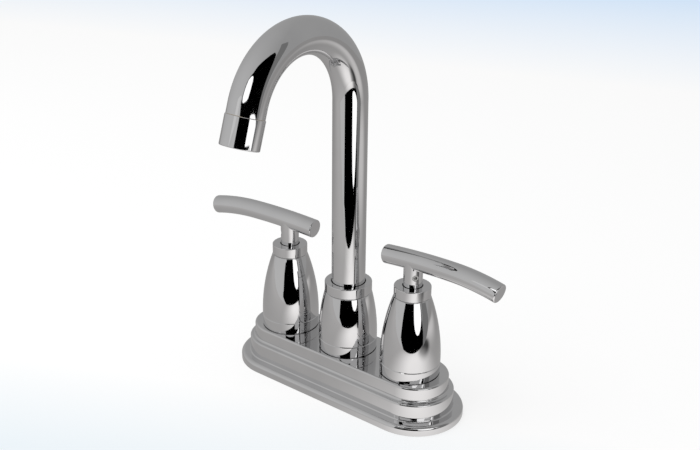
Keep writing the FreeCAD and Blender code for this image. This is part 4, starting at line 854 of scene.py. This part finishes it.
# %% Hang the cards
DARK = 0.0
DIM = 0.21
GREY = 0.62
BRIGHT = 0.75
WINDOW = 1.5
hang_card("dark_opening", 292, [
    (-197, 0), (300, 0), (300, 60), (285, 152), (-180, 152), (-197, 100)], DARK)
hang_card("dark_foot", 370, [(-152, -56), (380, -56), (380, 5), (-250, 5), (-250, -25)], DARK)
hang_card("low_window", 290, [
    (72, 132), (72, 103), (76, 76), (90, 52), (112, 36), (140, 27), (170, 27), (205, 37), (232, 52),
    (260, 76), (268, 103), (264, 132), (256, 150), (250, 168), (80, 168), (74, 150)], WINDOW)
hang_card("gap_by_the_camera", 293, [(-260, 150), (420, 150), (420, 330), (-260, 330)], GREY)
hang_card("dark_flag", 201, [
    (-117, 129), (36, 129), (38, 158), (100, 175), (240, 127), (255, 200), (252, 329), (238, 424),
    (178, 472), (101, 460), (41, 443), (-18, 428), (-54, 415), (-84, 386), (-122, 374), (-141, 356),
    (-144, 262), (-120, 246)], DARK)
hang_card("window_band", 199, [
    (14, 198), (54, 188), (102, 176), (144, 160), (200, 140), (239, 127), (245, 154), (200, 170),
    (144, 188), (88, 204), (32, 217), (14, 220)], WINDOW)
hang_card("high_window", 199, [
    (-130, 320), (-131, 282), (-121, 265), (-104, 258), (-66, 258), (-53, 264), (-46, 287),
    (-48, 320), (-56, 340), (-68, 353), (-84, 362), (-106, 362), (-122, 355)], WINDOW)
hang_card("bright_edge", 294, [
    (-420, 282), (-235, 282), (-240, 350), (-300, 375), (-420, 375)], BRIGHT)
hang_card("dim_side", 296, [(285, -45), (1300, -45), (1300, 1100), (620, 950), (430, 400)], DIM)
print("the cards hang in front")

# %% [markdown]
# ### The walls, the table and the lower floor
#
# The walls are one large sphere, a little lighter at the front left. The table's light rises evenly
# towards the front, and two bright pools and a shade lie on it and fade out from their middles.
# Lamps over a table would give such pools too, but they would also light the tap. The lower floor
# repeats the table's light further out, so that the tap mirrors the one where the other ends.

# %% Stand the grey walls
WALLS_LOW = 0.39
WALLS_HIGH = 0.60

bpy.ops.mesh.primitive_uv_sphere_add(segments=48, ring_count=24, radius=2.5)
grey_walls = bpy.context.object
grey_walls.name = "grey_walls"
wall_light = glowing("grey_walls", 1.0)
nodes, links = wall_light.node_tree.nodes, wall_light.node_tree.links
place = nodes.new("ShaderNodeTexCoord")
slope = nodes.new("ShaderNodeVectorMath")
slope.operation = "DOT_PRODUCT"
slope.inputs[1].default_value = towards_camera * 0.5 - picture_right * 0.866
level = nodes.new("ShaderNodeMapRange")
level.inputs["From Min"].default_value = -1.0
level.inputs["From Max"].default_value = 2.3
level.inputs["To Min"].default_value = WALLS_LOW
level.inputs["To Max"].default_value = WALLS_HIGH
links.new(place.outputs["Object"], slope.inputs[0])
links.new(slope.outputs["Value"], level.inputs["Value"])
links.new(level.outputs["Result"], nodes["Emission"].inputs["Strength"])
grey_walls.data.materials.append(wall_light)
only_in_reflections(grey_walls)
print("the grey walls stand round the tap")


# %% Helpers for the table's light
def lay_table(name, size, end, height):
    """A level square, as high as said, that ends so many millimetres in front of the spout."""
    bpy.ops.mesh.primitive_plane_add(size=size)
    table = bpy.context.object
    table.name = name
    table.rotation_euler.z = AZIMUTH
    table.location = towards_camera * (end * MM - size / 2) + Vector((0, 0, height * MM))
    return table


def add_level(tree, operation, against, start, end, low, high, soft=True):
    """A level that goes from low to high between two distances, in millimetres."""
    place = tree.nodes.new("ShaderNodeNewGeometry")
    distance = tree.nodes.new("ShaderNodeVectorMath")
    distance.operation = operation
    distance.inputs[1].default_value = against
    level = tree.nodes.new("ShaderNodeMapRange")
    level.interpolation_type = "SMOOTHSTEP" if soft else "LINEAR"
    level.inputs["From Min"].default_value = start * MM
    level.inputs["From Max"].default_value = end * MM
    level.inputs["To Min"].default_value = low
    level.inputs["To Max"].default_value = high
    tree.links.new(place.outputs["Position"], distance.inputs[0])
    tree.links.new(distance.outputs["Value"], level.inputs["Value"])
    return level.outputs["Result"]


def add_levels(tree, first, second):
    """The sum of two levels."""
    both = tree.nodes.new("ShaderNodeMath")
    both.operation = "ADD"
    tree.links.new(first, both.inputs[0])
    tree.links.new(second, both.inputs[1])
    return both.outputs["Value"]


# %% Light the table and the lower floor
TABLE_END = 250
TABLE_HEIGHT = -24
FLOOR_END = 372
FLOOR_HEIGHT = -56
FLOOR_SPREAD = 1.36
TABLE_TINT = (1.0, 0.982, 0.972, 1)
RISE_REACH = 300
RISE_LOW = 0.35
RISE_HIGH = 0.53
# To the right and in front of the spout, full out to, gone at, and how much light it adds
POOLS = ((70, 180, 30, 220, 0.64), (560, 70, 60, 330, 0.30), (260, 240, 75, 150, -0.42))


def light_table(table, spread):
    """An even rise with the pools on it, everything spread outwards from under the spout."""
    material = glowing(table.name, 1.0)
    tree = material.node_tree
    forwards = towards_camera - picture_right * 0.35
    total = add_level(tree, "DOT_PRODUCT", forwards, -RISE_REACH * spread, RISE_REACH * spread,
                      RISE_LOW, RISE_HIGH, soft=False)
    for to_the_right, in_front, start, end, strength in POOLS:
        middle = (picture_right * to_the_right + towards_camera * in_front) * spread * MM
        middle.z = table.location.z
        pool = add_level(tree, "DISTANCE", middle, start * spread, end * spread, strength, 0)
        total = add_levels(tree, total, pool)
    tree.links.new(total, tree.nodes["Emission"].inputs["Strength"])
    tree.nodes["Emission"].inputs["Color"].default_value = TABLE_TINT
    table.data.materials.append(material)
    only_in_reflections(table)
    print(table.name, "is lit in front and at the side")


light_table(lay_table("lit_table", 5, TABLE_END, TABLE_HEIGHT), 1.0)
light_table(lay_table("lower_floor", 3, FLOOR_END, FLOOR_HEIGHT), FLOOR_SPREAD)

# %% [markdown]
# ## The floor, the background and the light
#
# The floor is plain and pale and keeps the tap's soft shadow. It is a little bluer far away and at
# the near left, and the background goes on from there. Most of its brightness is its own, for the
# camera only, so that it stays pale without more light on the tap.

# %% Lay the floor
OWN_SHARE = 0.75
FAR_BLUE = (0.70, 0.835, 1.0)
NEAR_BLUE = (0.84, 0.90, 0.94)

bpy.ops.mesh.primitive_circle_add(vertices=128, radius=6, fill_type="NGON")
floor = bpy.context.object
floor.name = "floor"
floor.visible_glossy = False
pale = bpy.data.materials.new("pale_floor")
pale.use_nodes = True
nodes, links = pale.node_tree.nodes, pale.node_tree.links
nodes.clear()
place = nodes.new("ShaderNodeNewGeometry")


def tint_along(direction, start, end, colour):
    """Fade from white to a colour between two distances along the floor, in metres."""
    distance = nodes.new("ShaderNodeVectorMath")
    distance.operation = "DOT_PRODUCT"
    distance.inputs[1].default_value = direction
    fade = nodes.new("ShaderNodeMapRange")
    fade.inputs["From Min"].default_value = start
    fade.inputs["From Max"].default_value = end
    ramp = nodes.new("ShaderNodeValToRGB")
    ramp.color_ramp.elements[0].color = (1, 1, 1, 1)
    ramp.color_ramp.elements[1].color = (*colour, 1)
    links.new(place.outputs["Position"], distance.inputs[0])
    links.new(distance.outputs["Value"], fade.inputs["Value"])
    links.new(fade.outputs["Result"], ramp.inputs["Fac"])
    return ramp.outputs["Color"]


far = tint_along(picture_right * 0.4 - towards_camera, 0.95, 1.75, FAR_BLUE)
near = tint_along(towards_camera - picture_right * 0.25, 0.03, 0.13, NEAR_BLUE)
tint = nodes.new("ShaderNodeMix")
tint.data_type = "RGBA"
tint.blend_type = "MULTIPLY"
tint.inputs["Factor"].default_value = 1.0
links.new(far, tint.inputs["A"])
links.new(near, tint.inputs["B"])
matt = nodes.new("ShaderNodeBsdfDiffuse")
own = nodes.new("ShaderNodeEmission")
own.inputs["Strength"].default_value = 1.0
path = nodes.new("ShaderNodeLightPath")
share = nodes.new("ShaderNodeMath")
share.operation = "MULTIPLY"
share.inputs[1].default_value = OWN_SHARE
shown = nodes.new("ShaderNodeMixShader")
clear = nodes.new("ShaderNodeBsdfTransparent")
whole = nodes.new("ShaderNodeMixShader")
output = nodes.new("ShaderNodeOutputMaterial")
links.new(tint.outputs["Result"], matt.inputs["Color"])
links.new(tint.outputs["Result"], own.inputs["Color"])
links.new(path.outputs["Is Camera Ray"], share.inputs[0])
links.new(share.outputs["Value"], shown.inputs["Fac"])
links.new(matt.outputs["BSDF"], shown.inputs[1])
links.new(own.outputs["Emission"], shown.inputs[2])
links.new(place.outputs["Backfacing"], whole.inputs["Fac"])
links.new(shown.outputs["Shader"], whole.inputs[1])
links.new(clear.outputs["BSDF"], whole.inputs[2])
links.new(whole.outputs["Shader"], output.inputs["Surface"])
floor.data.materials.append(pale)
print("the floor is laid")

# %% Light the background and the tap
BACKGROUND_BLUE = (0.74, 0.86, 0.98)
ROOM_LIGHT = 0.75
LAMP_PLACE = Vector((-0.5, -0.7, 1.6))
LAMP_AIM = Vector((0, 0, 0.1))
LAMP_SIZE = 1.4
LAMP_POWER = 18

world = bpy.data.worlds.new("pale_surroundings")
bpy.context.scene.world = world
world.use_nodes = True
nodes, links = world.node_tree.nodes, world.node_tree.links
nodes.clear()
seen = nodes.new("ShaderNodeBackground")
seen.inputs["Color"].default_value = (*BACKGROUND_BLUE, 1)
lighting = nodes.new("ShaderNodeBackground")
lighting.inputs["Strength"].default_value = ROOM_LIGHT
path = nodes.new("ShaderNodeLightPath")
either = nodes.new("ShaderNodeMath")
either.operation = "MAXIMUM"
any_of_them = nodes.new("ShaderNodeMath")
any_of_them.operation = "MAXIMUM"
choice = nodes.new("ShaderNodeMixShader")
output = nodes.new("ShaderNodeOutputWorld")
links.new(path.outputs["Is Camera Ray"], either.inputs[0])
links.new(path.outputs["Is Glossy Ray"], either.inputs[1])
links.new(either.outputs["Value"], any_of_them.inputs[0])
links.new(path.outputs["Is Transmission Ray"], any_of_them.inputs[1])
links.new(any_of_them.outputs["Value"], choice.inputs["Fac"])
links.new(lighting.outputs["Background"], choice.inputs[1])
links.new(seen.outputs["Background"], choice.inputs[2])
links.new(choice.outputs["Shader"], output.inputs["Surface"])

bpy.ops.object.light_add(type="AREA", location=LAMP_PLACE)
soft_light = bpy.context.object
soft_light.name = "soft_light"
soft_light.data.shape = "SQUARE"
soft_light.data.size = LAMP_SIZE
soft_light.data.energy = LAMP_POWER
soft_light.rotation_euler = (LAMP_AIM - LAMP_PLACE).to_track_quat("-Z", "Y").to_euler()
soft_light.visible_glossy = False
bpy.context.scene.view_settings.view_transform = "Standard"
print("the background and the light are set")
